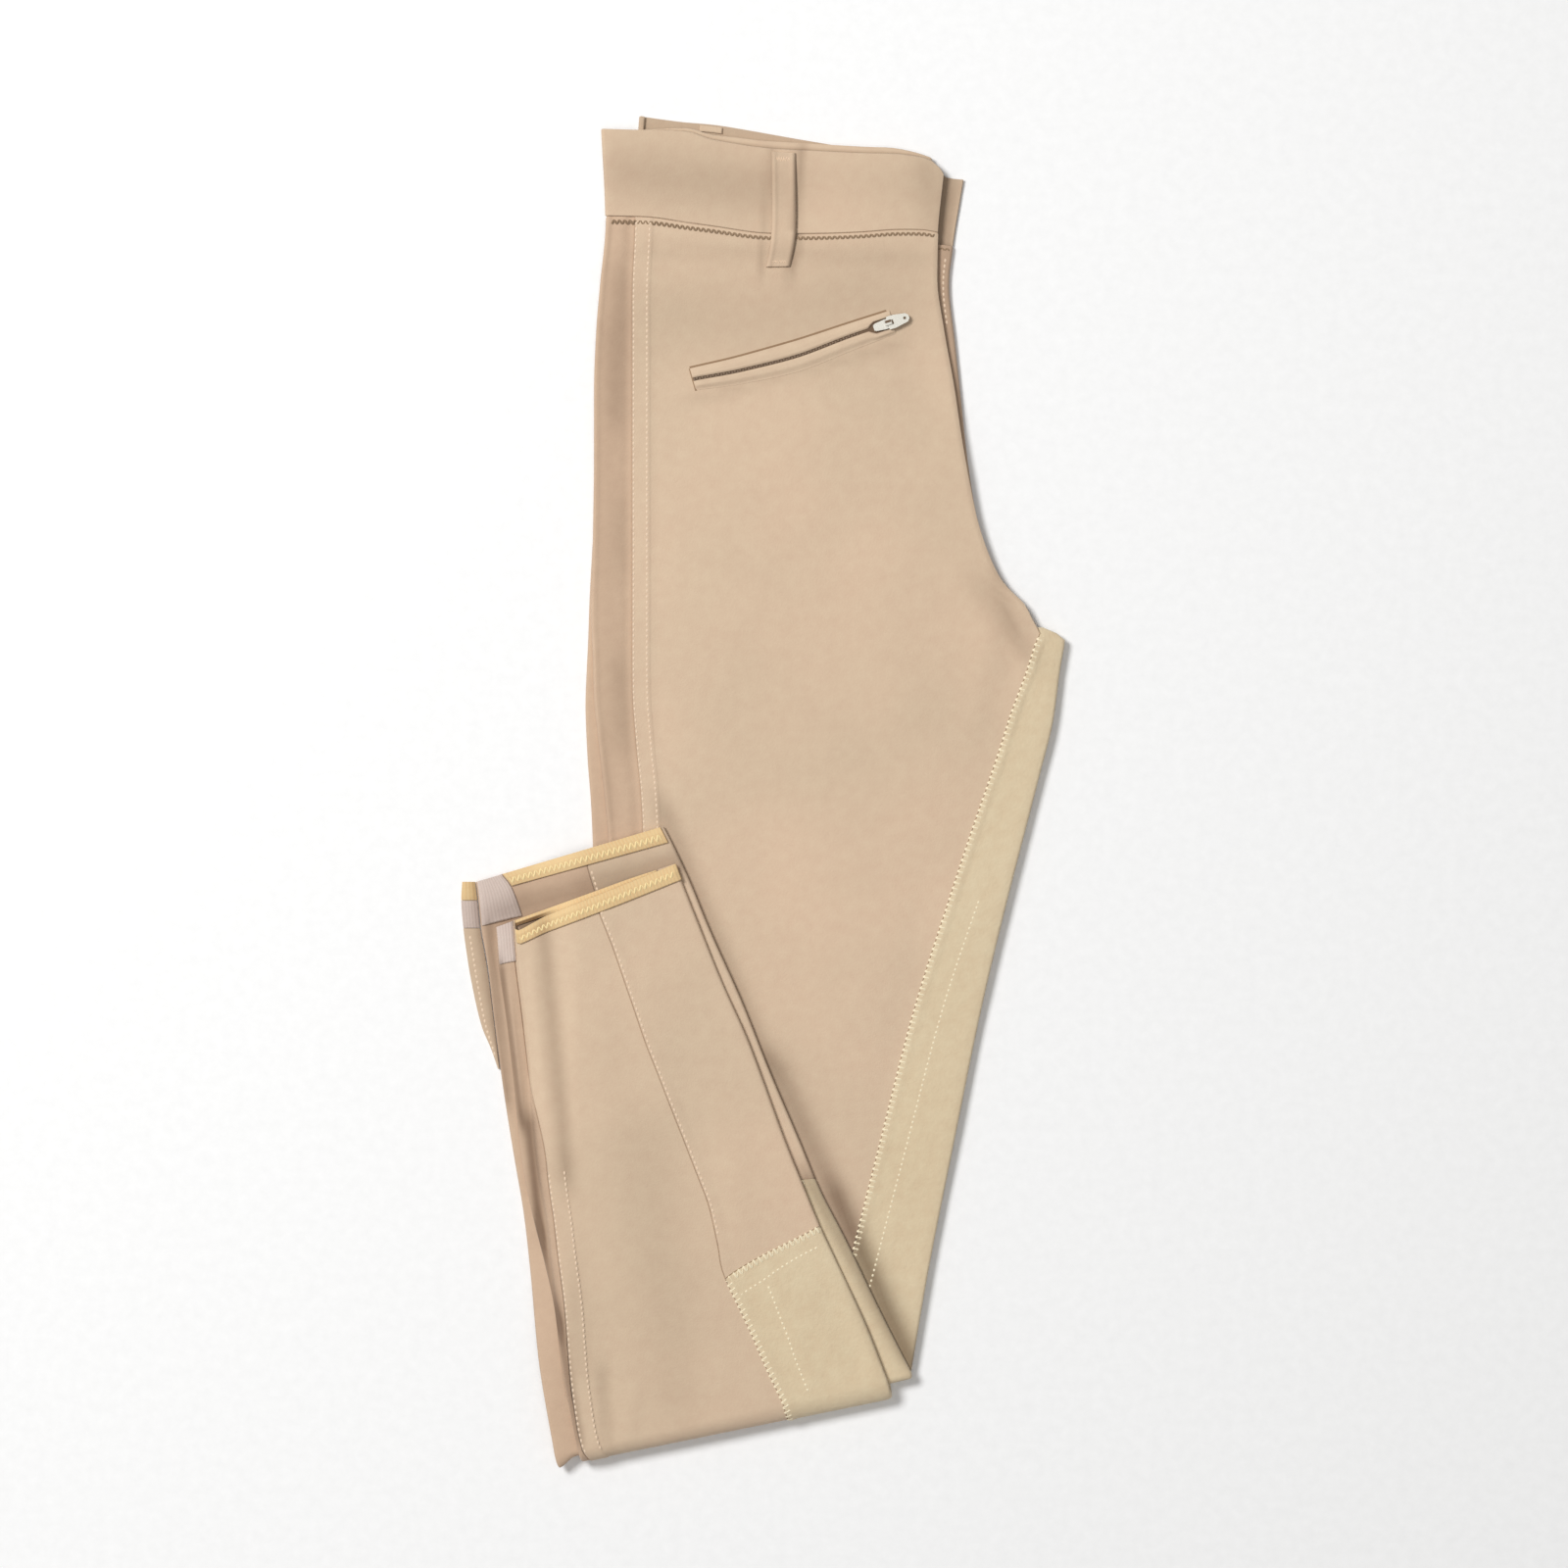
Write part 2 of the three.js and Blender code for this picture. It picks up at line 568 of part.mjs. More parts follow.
// Hems
const tapeWall = { inner: wall / 2 + seam, outer: wall / 2 + seam + 1 };
clothWall("hem_tape_far", "tape", {
  leg: far, ...tapeWall,
  stations: [31.05, 31.5, hemFar],
  line: (s) => {
    const from = ledge(s).from + 0.4;
    const drop = dropAcross(far, s, from + 2);
    return girthPoints(far, s, [from, ...drop, ...spread(drop[dropSteps], far.width(s) - edge, 2).slice(1),
      far.width(s) - edge + bend]);
  },
});
clothWall("hem_back_far", "tape", {
  leg: far,
  stations: [coreEnd + 0.06, hemFar, 32.32],
  line: (s) => {
    const drop = dropAcross(far, s, ledge(s).from + 3);
    return [ledge(s).from + 1.2, ...drop, ...spread(drop[dropSteps], far.width(s) - rightInset, 2).slice(1)]
      .map((across) => ({ across, depth: far.depth - bend, side: 0, front: 1 }));
  },
});
clothWall("hem_tape_near", "tape", {
  leg: near, ...tapeWall,
  stations: [30.06, 30.5, hemNear],
  line: (s) => {
    const drop = dropAcross(near, s, knitWide + 1);
    const right = near.width(s) - edge;
    return girthPoints(near, s, [
      ...[knitWide + 0.3, ...drop, ...spread(drop[dropSteps], right, 2).slice(1)]
        .map((a) => onUnder(near, s, a)),
    ]);
  },
});
clothWall("cuff_knit_near", "knit", {
  leg: near, ...tapeWall,
  stations: [29, 29.5, 30, 30.5, hemNear],
  line: (s) => girthPoints(near, s, spread(2.2, knitWide, 4).map((a) => onUnder(near, s, a))),
});
clothWall("cuff_knit_far", "knit", {
  leg: far, ...tapeWall,
  stations: [30, 30.5, 31, 31.5, hemFar],
  line: (s) => girthPoints(far, s, [0.6, 3, 6, ledge(s).from - ledgeRun - 0.4])
    .map((p) => ({ ...p, depth: far.depth - bend, side: 0, front: 1 })),
});

// The near shin's split hem, lying beside its left edge
const flapColumns = ["y", "outerX", "innerX"];
const flapRows = [[-148, -140.9, -140.2], [-137, -144.6, -141.6], [-124.5, -149.8, -143.2],
  [-99.6, -155.5, -146.3], [-87, -157.6, -148.2], [-72, -159.6, -150.9], [-57.2, -160.7, -152.3],
  [-47.6, -160.2, -153.5]];
const flap = smoothTable(flapColumns, flapRows);
const flapThick = 1.6;
function flapPiece(name, colour, from, to, steps, thick) {
  const face = (top) => spread(from, to, steps).map((y) => {
    const row = flap(y);
    return [0, 0.15, 0.6, 1].map((f) => new THREE.Vector3(
      mix(row.outerX, row.innerX - seam, f), y, top ? thick * (f === 0 ? 0.55 : 1) : 0));
  });
  add(name, colour, solidBetween(face(true), face(false)));
}
flapPiece("ankle_flap", "cloth", -147, -72 - seam, 7, flapThick);
flapPiece("cuff_knit_flap", "knit", -72, -57.3 - seam, 2, flapThick);
flapPiece("hem_tape_flap", "tape", -57.3, -47.6, 2, flapThick + 0.3);

// Zip pocket on the near thigh
const zipColumns = ["along", "sag", "above", "below"];
const zipRows = [[0, 0, 6, 6], [0.25, -2.6, 7.2, 7.2], [0.5, -3.6, 8, 8], [0.8, -1, 6.6, 7.4],
  [1, 0, 6.3, 6.3]];
const zip = smoothTable(zipColumns, zipRows);
const zipFrom = { x: -37.4, y: 219.2 };
const zipRun = { x: 106, y: 30.4 };
const zipLength = hypot(zipRun.x, zipRun.y);
const zipGap = 1.2; // from the zip's middle to a welt
const sliderGap = 3.1;
const zipSteps = [0, 0.08, 0.16, 0.25, 0.35, 0.45, 0.55, 0.65, 0.75, 0.84, 0.88, 0.9, 0.95, 1];
const thighTop = (x, y) => (foldHeight - hairpin) * swell(x, y);
function onZip(along, up, height) {
  const x = zipFrom.x + zipRun.x * along - (zipRun.y / zipLength) * up;
  const y = zipFrom.y + zipRun.y * along + zip(along).sag + (zipRun.x / zipLength) * up;
  return new THREE.Vector3(x, y, thighTop(x, y) + height);
}
const zipOpening = (along) => mix(zipGap, sliderGap, clamp01((along - 0.84) / 0.05));
function zipStrip(name, colour, steps, acrossAt, height, rounding) {
  const face = (top) => steps.map((along) => acrossAt(along).map((up, j, all) =>
    onZip(along, up, top ? height * (j === 0 || j === all.length - 1 ? rounding : 1) : seam)));
  add(name, colour, solidBetween(face(true), face(false)));
}
const weltHeight = 1.5;
zipStrip("pocket_welt_upper", "cloth", zipSteps,
  (a) => spread(zipOpening(a), zip(a).above, 3), weltHeight, 0.7);
zipStrip("pocket_welt_lower", "cloth", zipSteps,
  (a) => spread(-zipOpening(a), -zip(a).below, 3), weltHeight, 0.7);
zipStrip("zip_chain", "metal", zipSteps.slice(0, 10),
  () => [-zipGap + seam, 0, zipGap - seam], 1.2, 0.8);

// Slider and pull tab. Their own frame lies along the zip with its origin on the cloth.
const sliderLength = 10;
const sliderWidth = 5.2;
const sliderTop = 1.6;
const bridgeWidth = 1.7;
const bridgeReach = 1.8; // either side of the pull's bar
const bridgeWall = 0.8;
const bridgeRise = 1.5; // opening under the bridge
const barAt = 3.2; // from the slider's middle
const barSize = 0.9;
const barHeight = sliderTop + bridgeRise / 2;
const pullLength = 11.4;
const pullWide = 7;
const pullNarrow = 4.7;
const slotReach = 2.75;
const slotWidth = 2.5;
const pullHole = 1.6;
const pullTail = 0.45; // behind the bar, so that it clears the slider as it turns
const sliderAlong = 0.95;
const sliderTurn = 18;

const block = (x0, x1, y0, y1, z0, z1) =>
  Manifold.cube([x1 - x0, y1 - y0, z1 - z0]).translate([x0, y0, z0]);
function tapered(outline, z0, z1) {
  return Manifold.extrude([outline], z1 - z0).translate([0, 0, z0]);
}
const half = sliderLength / 2;
const sliderOutline = [[-half, -1.3], [-half + 1, -2], [1, -sliderWidth / 2], [half - 1, -sliderWidth / 2],
  [half, -1.6], [half, 1.6], [half - 1, sliderWidth / 2], [1, sliderWidth / 2], [-half + 1, 2],
  [-half, 1.3]];
const bridge = block(barAt - bridgeReach, barAt + bridgeReach, -bridgeWidth / 2, bridgeWidth / 2,
  sliderTop - 0.1, sliderTop + bridgeRise + bridgeWall)
  .subtract(block(barAt - bridgeReach + bridgeWall, barAt + bridgeReach - bridgeWall,
    -bridgeWidth, bridgeWidth, sliderTop, sliderTop + bridgeRise));
const slider = tapered(sliderOutline, seam, sliderTop).add(bridge);
const pullOutline = [[-pullTail, -pullWide / 2 + 0.6], [0, -pullWide / 2], [3.2, -pullWide / 2],
  [pullLength - 1.4, -pullNarrow / 2], [pullLength, -pullNarrow / 2 + 1.4],
  [pullLength, pullNarrow / 2 - 1.4], [pullLength - 1.4, pullNarrow / 2], [3.2, pullWide / 2],
  [0, pullWide / 2], [-pullTail, pullWide / 2 - 0.6]];
const pull = tapered(pullOutline, -barSize / 2, barSize / 2)
  .subtract(block(barSize / 2, slotReach, -slotWidth / 2, slotWidth / 2, -1, 1))
  .subtract(Manifold.cylinder(2, pullHole / 2, pullHole / 2, 12, true).translate([pullLength - 2.4, 0, 0]))
  .translate([barAt, 0, barHeight]);
const sliderAt = onZip(sliderAlong, 0, 0);
function fromSolid(solid) {
  const mesh = solid.rotate([0, 0, sliderTurn]).translate([sliderAt.x, sliderAt.y, sliderAt.z]).getMesh();
  const geometry = new THREE.BufferGeometry();
  geometry.setAttribute("position", new THREE.Float32BufferAttribute(mesh.vertProperties, 3));
  geometry.setIndex([...mesh.triVerts]);
  return geometry;
}
add("zip_slider", "metal", fromSolid(slider));
add("zip_pull", "metal", fromSolid(pull));

// The far back waistband's loop shows over the near one's edge.
clothWall("belt_loop_far", "cloth", {
  leg: far,
  stations: [0.02, 0.05, 0.09],
  line: (s) => spread(33, 45, 4).map((across) => ({
    across, depth: far.depth + bend, side: 0, front: -1 })),
  inner: wall / 2 + seam, outer: wall / 2 + seam + 1.1,
});

// The origin is below the middle of the whole, on the surface it lies on.
const box = new THREE.Box3().setFromObject(root);
root.position.set(-(box.min.x + box.max.x) / 2, -(box.min.y + box.max.y) / 2, -box.min.z);

export default root;
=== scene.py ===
import math
import bpy
import bmesh
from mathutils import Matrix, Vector, noise


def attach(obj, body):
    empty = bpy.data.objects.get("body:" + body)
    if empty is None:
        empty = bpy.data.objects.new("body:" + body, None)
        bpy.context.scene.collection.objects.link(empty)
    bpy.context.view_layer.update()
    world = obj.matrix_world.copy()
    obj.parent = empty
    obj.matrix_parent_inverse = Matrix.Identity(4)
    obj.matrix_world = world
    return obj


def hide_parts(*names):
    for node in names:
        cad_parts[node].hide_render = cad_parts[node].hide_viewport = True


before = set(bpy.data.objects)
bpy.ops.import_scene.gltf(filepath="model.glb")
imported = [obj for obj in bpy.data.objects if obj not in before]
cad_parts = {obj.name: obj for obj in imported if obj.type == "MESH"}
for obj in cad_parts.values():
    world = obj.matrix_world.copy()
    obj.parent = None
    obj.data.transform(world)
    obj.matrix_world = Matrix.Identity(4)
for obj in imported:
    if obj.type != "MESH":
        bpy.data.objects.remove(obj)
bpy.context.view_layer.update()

print("frame loaded")

# Sizes are in millimetres until a mesh is made. +X right, +Y towards the waist, +Z up.
cloth = {
    "wall": 1.2, "hollow": 0.9, "seam": 0.3, "hairpin": 0.2, "bandExtra": 0.4,
    "lip": 8.0, "foldLip": 16.0, "flyWidth": 16.0, "knitWidth": 14.5,
    "originX": 0.25, "originY": -0.663,
}
wall, seam, hairpin = cloth["wall"], cloth["seam"], cloth["hairpin"]
legDepth = 2 * wall + cloth["hollow"]
bend = (legDepth - wall) / 2
edge = bend + wall / 2
roll = math.pi * bend  # round a pressed edge
foldHeight = hairpin + 2 * legDepth + seam
lip, foldLip = cloth["lip"], cloth["foldLip"]

# Stations along a leg: 0 waist, 1 waist seam, 9 crotch, 20 to 21 round the knee fold, hem last.
# A row has the pressed edges' x and y, then how far in from them the side and inner seams are.
crotch, foldStart, foldEnd, hemNear, hemFar = 9, 20, 21, 31, 32
rowNames = ["leftX", "leftY", "rightX", "rightY", "side", "inner"]
nearThighRows = [
    [0, -85.8, 352.3, 96.2, 334.1, 16.3, 2.5],
    [1, -83.7, 306.0, 93.1, 297.2, 15.5, 2.5],
    [2, -86.8, 269.6, 92.6, 272.2, 17.2, 2.5],
    [3, -88.9, 243.6, 96.2, 245.7, 19.2, 2.5],
    [4, -90.0, 212.4, 101.4, 216.6, 20.3, 2.5],
    [5, -90.0, 176.0, 106.6, 182.3, 20.3, 2.5],
    [6, -90.5, 139.6, 115.4, 139.6, 20.8, 2.5],
    [7, -91.0, 113.6, 126.9, 112.6, 21.3, 2.5],
    [8, -91.5, 95.4, 138.8, 100.1, 21.8, 2.5],
    [9, -91.0, 82.4, 148.2, 88.1, 21.3, 3.0],
    [10, -90.5, 73.1, 160.2, 80.9, 20.8, 14.9],
    [11, -90.0, 53.3, 157.6, 64.7, 20.4, 17.7],
    [12, -87.4, 25.2, 153.9, 37.7, 19.7, 24.0],
    [13, -84.2, -3.4, 147.2, 10.7, 19.2, 26.2],
    [14, -82.2, -32.0, 140.9, -13.8, 18.3, 28.7],
    [15, -83.2, -78.8, 130.0, -55.9, 19.9, 32.2],
    [16, -87.4, -146.4, 116.5, -112.1, 20.8, 37.6],
    [17, -94.6, -224.4, 100.9, -188.0, 21.0, 41.9],
    [18, -103.0, -297.2, 87.4, -255.6, 21.3, 46.3],
    [20, -110.8, -351.3, 78.5, -307.6, 19.0, 51.8],
]
nearShinRows = [
    [21, -110.8, -351.3, 78.5, -307.6, 19.0, 51.8],
    [22, -119.6, -299.3, 60.8, -272.7, 18.5, 53.6],
    [23, -123.8, -255.6, 43.2, -236.3, 18.0, 55.2],
    [24, -127.4, -224.4, 29.6, -209.8, 18.0, 57.0],
    [25, -133.1, -190.6, 18.7, -183.8, 18.0, 57.0],
    [26, -138.8, -154.2, 3.6, -148.5, 18.0, 56.0],
    [27, -143.5, -117.8, -11.4, -111.0, 18.0, 54.0],
    [28, -146.6, -91.8, -28.6, -72.5, 18.0, 51.0],
    [29, -150.3, -71.0, -40.6, -43.4, 18.0, 49.0],
    [30, -151.8, -55.4, -48.4, -26.8, 18.0, 46.5],
    [31, -152.9, -47.6, -53.0, -17.9, 18.0, 45.0],
]
farThighRows = [
    [0, -66.0, 359.6, 106.6, 325.8, 19.5, 16.0],
    [1, -69.7, 313.8, 100.9, 290.4, 20.6, 16.0],
    [2, -76.4, 269.6, 98.8, 269.1, 20.8, 16.0],
    [3, -80.6, 238.4, 101.9, 239.5, 21.6, 16.0],
    [4, -84.2, 207.2, 105.0, 209.8, 21.8, 16.0],
    [5, -87.9, 170.8, 108.7, 176.0, 21.1, 16.0],
    [6, -91.0, 129.2, 116.5, 133.4, 21.2, 16.0],
    [7, -92.6, 98.0, 133.1, 102.2, 21.1, 16.0],
    [8, -93.1, 82.4, 142.0, 89.7, 20.8, 16.0],
    [10, -94.1, 61.6, 155.5, 76.2, 21.4, 16.4],
    [11, -94.6, 46.0, 153.4, 56.4, 21.4, 21.8],
    [12, -93.6, 20.0, 148.2, 25.2, 19.7, 28.1],
    [13, -91.5, -9.1, 140.4, -4.9, 16.9, 30.6],
    [14, -90.5, -37.2, 134.2, -30.9, 15.3, 32.8],
    [15, -90.0, -94.4, 120.1, -82.9, 13.4, 35.1],
    [16, -91.5, -167.2, 103.5, -151.6, 11.9, 37.5],
    [17, -94.1, -245.2, 87.4, -221.8, 9.3, 43.1],
    [18, -96.2, -307.6, 75.9, -279.0, 7.0, 51.2],
    [20, -98.3, -348.4, 66.6, -310.3, 5.7, 56.5],
]
farShinRows = [
    [21, -98.3, -348.4, 65.5, -310.6, 5.7, 56.5],
    [22, -106.1, -312.8, 54.6, -282.6, 8.3, 58.8],
    [23, -110.8, -273.8, 38.0, -246.7, 9.9, 58.9],
    [24, -116.0, -250.4, 30.2, -230.1, 12.0, 55.1],
    [25, -122.7, -224.4, 20.3, -206.2, 15.0, 51.5],
    [26, -127.9, -198.4, 10.9, -182.8, 14.5, 51.5],
    [27, -131.0, -172.4, 0.5, -154.2, 11.0, 52.0],
    [28, -133.1, -151.6, -8.8, -129.7, 8.6, 51.9],
    [29, -136.8, -120.4, -21.8, -100.6, 8.8, 49.2],
    [30, -140.9, -91.8, -34.8, -68.4, 9.3, 47.0],
    [31, -142.0, -77.7, -43.7, -46.0, 9.3, 46.1],
    [32, -142.5, -72.5, -46.8, -37.7, 9.5, 44.5],
]
waistRows = [  # across, near top, near seam, far top
    [0, 0, 0, 0], [0.12, 1.5, 0.5, 1.2], [0.25, 3.0, -1.5, 3.4], [0.32, 0.2, -2.6, 3.8],
    [0.48, -1.5, -5.0, 4.3], [0.62, -0.4, -4.0, 5.0], [0.76, 0.9, -2.0, 6.0],
    [0.88, 2.4, 0.5, 7.0], [0.95, 1.6, 1.0, -0.7], [1, 0, 0, 0],
]
ledgeRows = [[21, 2.1], [22, 3.0], [23, 2.8], [24, 5.1], [25, 8.7], [27, 10.0],
             [29, 11.4], [30, 12.0], [32, 12.2]]
ledge = {"run": 2.6, "drop": 2 * bend - 0.1}
backSeamRows = [[9, 10], [17, 10], [20, 17.6], [22, 20], [24.2, 25], [25, 34], [26, 44],
                [28, 52], [30, 46.5], [31, 45]]
insetRows = [[1, 10.6], [5, 10.6], [8, 12.2], [10, 14.4], [12, 17], [14, 19], [15, 17.7],
             [16, 13.7], [17, 10.8], [20, 10.6]]
dropLines = [[-351, -115], [-240, -97], [100, -96]]
fold = {"nearReach": 4.3, "nearRun": 11, "farReach": 4.3, "dropRun": 30, "patchEndNear": 24.2,
        "patchEndFar": 23, "fullFrom": 21.05, "fullAt": 21.35,
        "slantFrom": 22.6, "slantEnd": 24.5}
riseRows = [  # x, y, wide, long, high
    [-10, 120, 75, 80, 1.7], [70, 60, 55, 70, 1.1], [40, 215, 60, 50, 0.9],
    [95, -60, 40, 80, 0.8], [-40, -240, 60, 75, 1.5], [-95, -120, 35, 70, 1.2],
    [10, 318, 110, 26, 0.5],
]


def smoothTable(names, rows):
    at = [row[0] for row in rows]
    slopes = []
    for c in range(1, len(names) + 1):
        step = [(rows[i + 1][c] - rows[i][c]) / (at[i + 1] - at[i]) for i in range(len(rows) - 1)]
        line = [step[0]]
        for a, b in zip(step, step[1:]):
            line.append(0 if a * b <= 0 else 2 * a * b / (a + b))
        slopes.append(line + [step[-1]])
    kept = {}

    def value(station):
        if station in kept:
            return kept[station]
        s = min(max(station, at[0]), at[-1])
        i = 0
        while i < len(at) - 2 and s > at[i + 1]:
            i += 1
        span = at[i + 1] - at[i]
        t = (s - at[i]) / span
        out = {}
        for c, name in enumerate(names):
            a, b = rows[i][c + 1], rows[i + 1][c + 1]
            out[name] = (a + (b - a) * t * t * (3 - 2 * t) + slopes[c][i] * span * t * (1 - t) ** 2
                         - slopes[c][i + 1] * span * t * t * (1 - t))
        kept[station] = out
        return out
    return value


def lengthOf(points):
    return sum(math.dist(a, b) for a, b in zip(points, points[1:]))


def mix(a, b, t):
    return a + (b - a) * t


def clamp01(t):
    return min(max(t, 0.0), 1.0)


def ease(t):
    t = clamp01(t)
    return t * t * (3 - 2 * t)


def spread(a, b, steps):
    return [mix(a, b, i / steps) for i in range(steps + 1)]


def between(rows, at):
    for i, row in enumerate(rows):
        if row[0] > at:
            if i == 0:
                return row[1]
            last = rows[i - 1]
            return mix(last[1], row[1], (at - last[0]) / (row[0] - last[0]))
    return rows[-1][1]


waistRise = smoothTable(["nearTop", "nearSeam", "farTop"], waistRows)
ledgeAt = smoothTable(["from"], ledgeRows)
insetAt = smoothTable(["left"], insetRows)


class Leg:
    def __init__(self, thighRows, shinRows, face, depth, far):
        self.thigh = smoothTable(rowNames, thighRows)
        self.shin = smoothTable(rowNames, shinRows)
        self.face, self.depth, self.far = face, depth, far
        self.rows, self.widths = {}, {}

    def row(self, s):
        if s not in self.rows:
            if s <= foldStart:
                found = self.thigh(s)
            elif s >= foldEnd:
                found = self.shin(s)
            else:
                a, b = self.thigh(foldStart), self.shin(foldEnd)
                found = {name: mix(a[name], b[name], s - foldStart) for name in rowNames}
            self.rows[s] = found
        return self.rows[s]

    def width(self, s):
        if s not in self.widths:
            r = self.row(s)
            self.widths[s] = math.hypot(r["rightX"] - r["leftX"], r["rightY"] - r["leftY"])
        return self.widths[s]


near = Leg(nearThighRows, nearShinRows, -1, hairpin + legDepth / 2, False)
far = Leg(farThighRows, farShinRows, 1, hairpin + legDepth * 1.5 + seam, True)
foldRow, foldLength = near.row(foldStart), near.width(foldStart)
outX = (foldRow["rightY"] - foldRow["leftY"]) / foldLength
outY = -(foldRow["rightX"] - foldRow["leftX"]) / foldLength


def softRise(x, y):
    return sum(high * math.exp(-((x - cx) / wide) ** 2 - ((y - cy) / long) ** 2)
               for cx, cy, wide, long, high in riseRows)


hemSag = {"start": 28.5, "rows": [[0, 5.2], [15, 5.2], [28, 2.9], [70, 1.5], [100, 0.2]],
          "from": 9.8, "run": 2.4, "lower": 0.8, "lowerEnd": 0.72}
waistCorner = {"from": 0.93, "drop": 6.5}
# Creases: from x and y, to x and y, width, height (below 0 a trough). Each fades at its ends.
creases = {
    "thigh": [
        (129, 104, 134, 52, 4.0, -0.9), (121, 92, 107, 22, 7.5, 0.8), (139, 70, 128, 30, 3.5, 0.4),
        (150, 88, 118, 78, 5.0, -0.5), (95, 235, 112, 150, 6.0, 0.5), (74, 262, 92, 168, 9.0, -0.5),
        (-30, 208, 60, 205, 14, -0.5), (-20, 190, -8, 60, 24, 0.8), (30, 200, 48, 90, 20, -0.5),
        (60, 150, 80, 20, 22, 0.7), (-66, 150, -58, -10, 9, -0.5), (20, 20, 70, -140, 24, 0.6),
        (-10, -20, 30, -150, 16, -0.4), (92, -20, 60, -190, 9, -0.5),
        (-60, 292, 30, 276, 8, -0.5), (40, 290, 88, 280, 9, 0.4),
    ],
    "shinFar": [
        (-117, -66, -102, -212, 5.5, -1.3), (-125, -72, -114, -190, 3.4, 0.9),
        (-139, -90, -130, -170, 1.9, -1.5), (-135.5, -100, -127, -175, 1.6, 0.8),
        (-82, -352, -84, -300, 4.0, -1.0), (-72, -350, -68, -310, 5.0, 0.5),
        (-70, -80, -44, -190, 11, 0.7), (-92, -110, -78, -230, 12, 0.5),
        (-76, -170, -52, -320, 17, -0.9), (-20, -160, -8, -262, 9, 0.6),
        (30, -262, 56, -310, 7, -0.7), (-40, -300, 30, -330, 10, 0.5), (12, -280, 30, -318, 6, 0.5),
    ],
    "shinNear": [
        (-130, -70, -46, -42, 9.0, -1.6), (-88, -46, -84, -66, 3, 0.4),
        (-146, -74, -137, -158, 2.2, -1.1), (-149.5, -66, -141, -150, 2.0, 0.7),
    ],
}
uneven = {"broad": 0.55, "broadSize": 48.0, "small": 0.12, "smallSize": 17.0}
# Painted shade: where shadows and contact shade fall on the cloth, beside other layers, under the belt loops
# and in the creases: from, to, width, share.
paintedShadows = {
    "band": [(-72, 328, -8, 322, 17, 0.22), (19.5, 342, 16, 300, 2.6, 0.3), (3.5, 340, 1, 290, 1.8, 0.25),
             (88, 330, 92, 302, 9, 0.16), (20, 325, 80, 322, 14, 0.08)],
    "thigh": [
        (-52, -12, 0, -138, 5.5, 0.28), (8, -150, 80, -306, 8, 0.4), (40, -215, 76, -300, 6, 0.28),
        (-77, 270, -78, 205, 6.5, 0.2), (-76, 146, -76, 126, 5, 0.1), (-76, 62, -75, 32, 6, 0.16),
        (-82, 240, -83, -10, 6, 0.1), (118, 106, 140, 76, 7, 0.14), (-34, 209, 66, 236, 3.5, 0.12),
        (19, 300, 15, 280, 3, 0.3), (0, 292, -1, 280, 1.6, 0.2), (-62, 288, 80, 284, 5, 0.1),
        (124, 112, 134, 82, 3.5, 0.16), (-46, 255, 60, 262, 26, 0.12),
    ],
    "shinFar": [
        (-117, -72, -104, -200, 5, 0.3), (-124, -178, -118.5, -235, 3.4, 0.7),
        (-118.5, -235, -109, -280, 3, 0.6), (-109, -280, -98, -340, 3, 0.45),
        (-139, -96, -129, -172, 2.2, 0.6), (-110, -200, -96, -300, 9, 0.1),
        (-81, -346, -84, -312, 4, 0.14), (50, -266, 66, -300, 5, 0.14),
        (-60, -190, -46, -320, 16, 0.1), (22, -200, 62, -298, 2.4, 0.2),
    ],
    "shinNear": [(-136, -63, -47, -38, 8.5, 0.38), (-145, -76, -136, -160, 2.4, 0.4),
                 (24, -205, 74, -298, 4.5, 0.4)],
}
# How far each painted shade stroke reaches beside and past its ends, and the most painted shade at one
# place.
stroke = {"reach": 2.6, "past": 6, "most": 0.7}
# The painted shade of each point made, later written to the "shade" attribute.
shadeByPoint = {}


def nearFace(leg, s, depth):
    # The visible side of a stretch of a leg, and how near to it a depth is.
    if s <= foldStart:
        return "thigh", clamp01((4.5 - depth) / 3.1)
    if leg.far:
        return "shinFar", clamp01((depth - 2.5) / 3.4)
    return "shinNear", clamp01(depth / 2.3)


def alongAndOff(line, x, y):
    # How far along a line a point is, how far beside it, and the line's length.
    x0, y0, x1, y1 = line
    dx, dy = x1 - x0, y1 - y0
    length = math.hypot(dx, dy)
    return ((x - x0) * dx + (y - y0) * dy) / length, ((x - x0) * dy - (y - y0) * dx) / length, length


# Painted shade at a place on a leg, from the strokes of its face.
def paintedShadeAt(leg, s, x, y, depth):
    face, share = nearFace(leg, s, depth)
    if leg.far and face == "thigh":
        return 0.0
    total = 0.0
    for *line, width, much in paintedShadows["band" if s < 1 else face] if share else []:
        along, off, length = alongAndOff(line, x, y)
        past, run = max(-along, along - length, 0), width + stroke["past"]
        if abs(off) < stroke["reach"] * width and past < stroke["reach"] * run:
            total += much * math.exp(-(off / width) ** 2 - (past / run) ** 2)
    return min(total * share, stroke["most"])


def creaseHeight(face, x, y):
    # The number of letters in its name gives each face its own unevenness.
    broad, small = uneven["broadSize"], uneven["smallSize"]
    total = uneven["broad"] * noise.noise((x / broad, y / broad, len(face)))
    total += uneven["small"] * noise.noise((x / small, y / small, 3.7))
    for *line, width, high in creases[face]:
        along, off, length = alongAndOff(line, x, y)
        if -width < along < length + width and abs(off) <= 3 * width:
            t = along / length
            total += high * math.exp(-(off / width) ** 2) * ease(min(t, 1 - t) * 4 + 0.05)
    return total


def reliefAt(leg, s, x, y, depth):
    face, share = nearFace(leg, s, depth)
    fade = 1 if s <= foldStart else ease((s - foldStart - 0.5) / 0.5)
    return creaseHeight(face, x, y) * share * fade


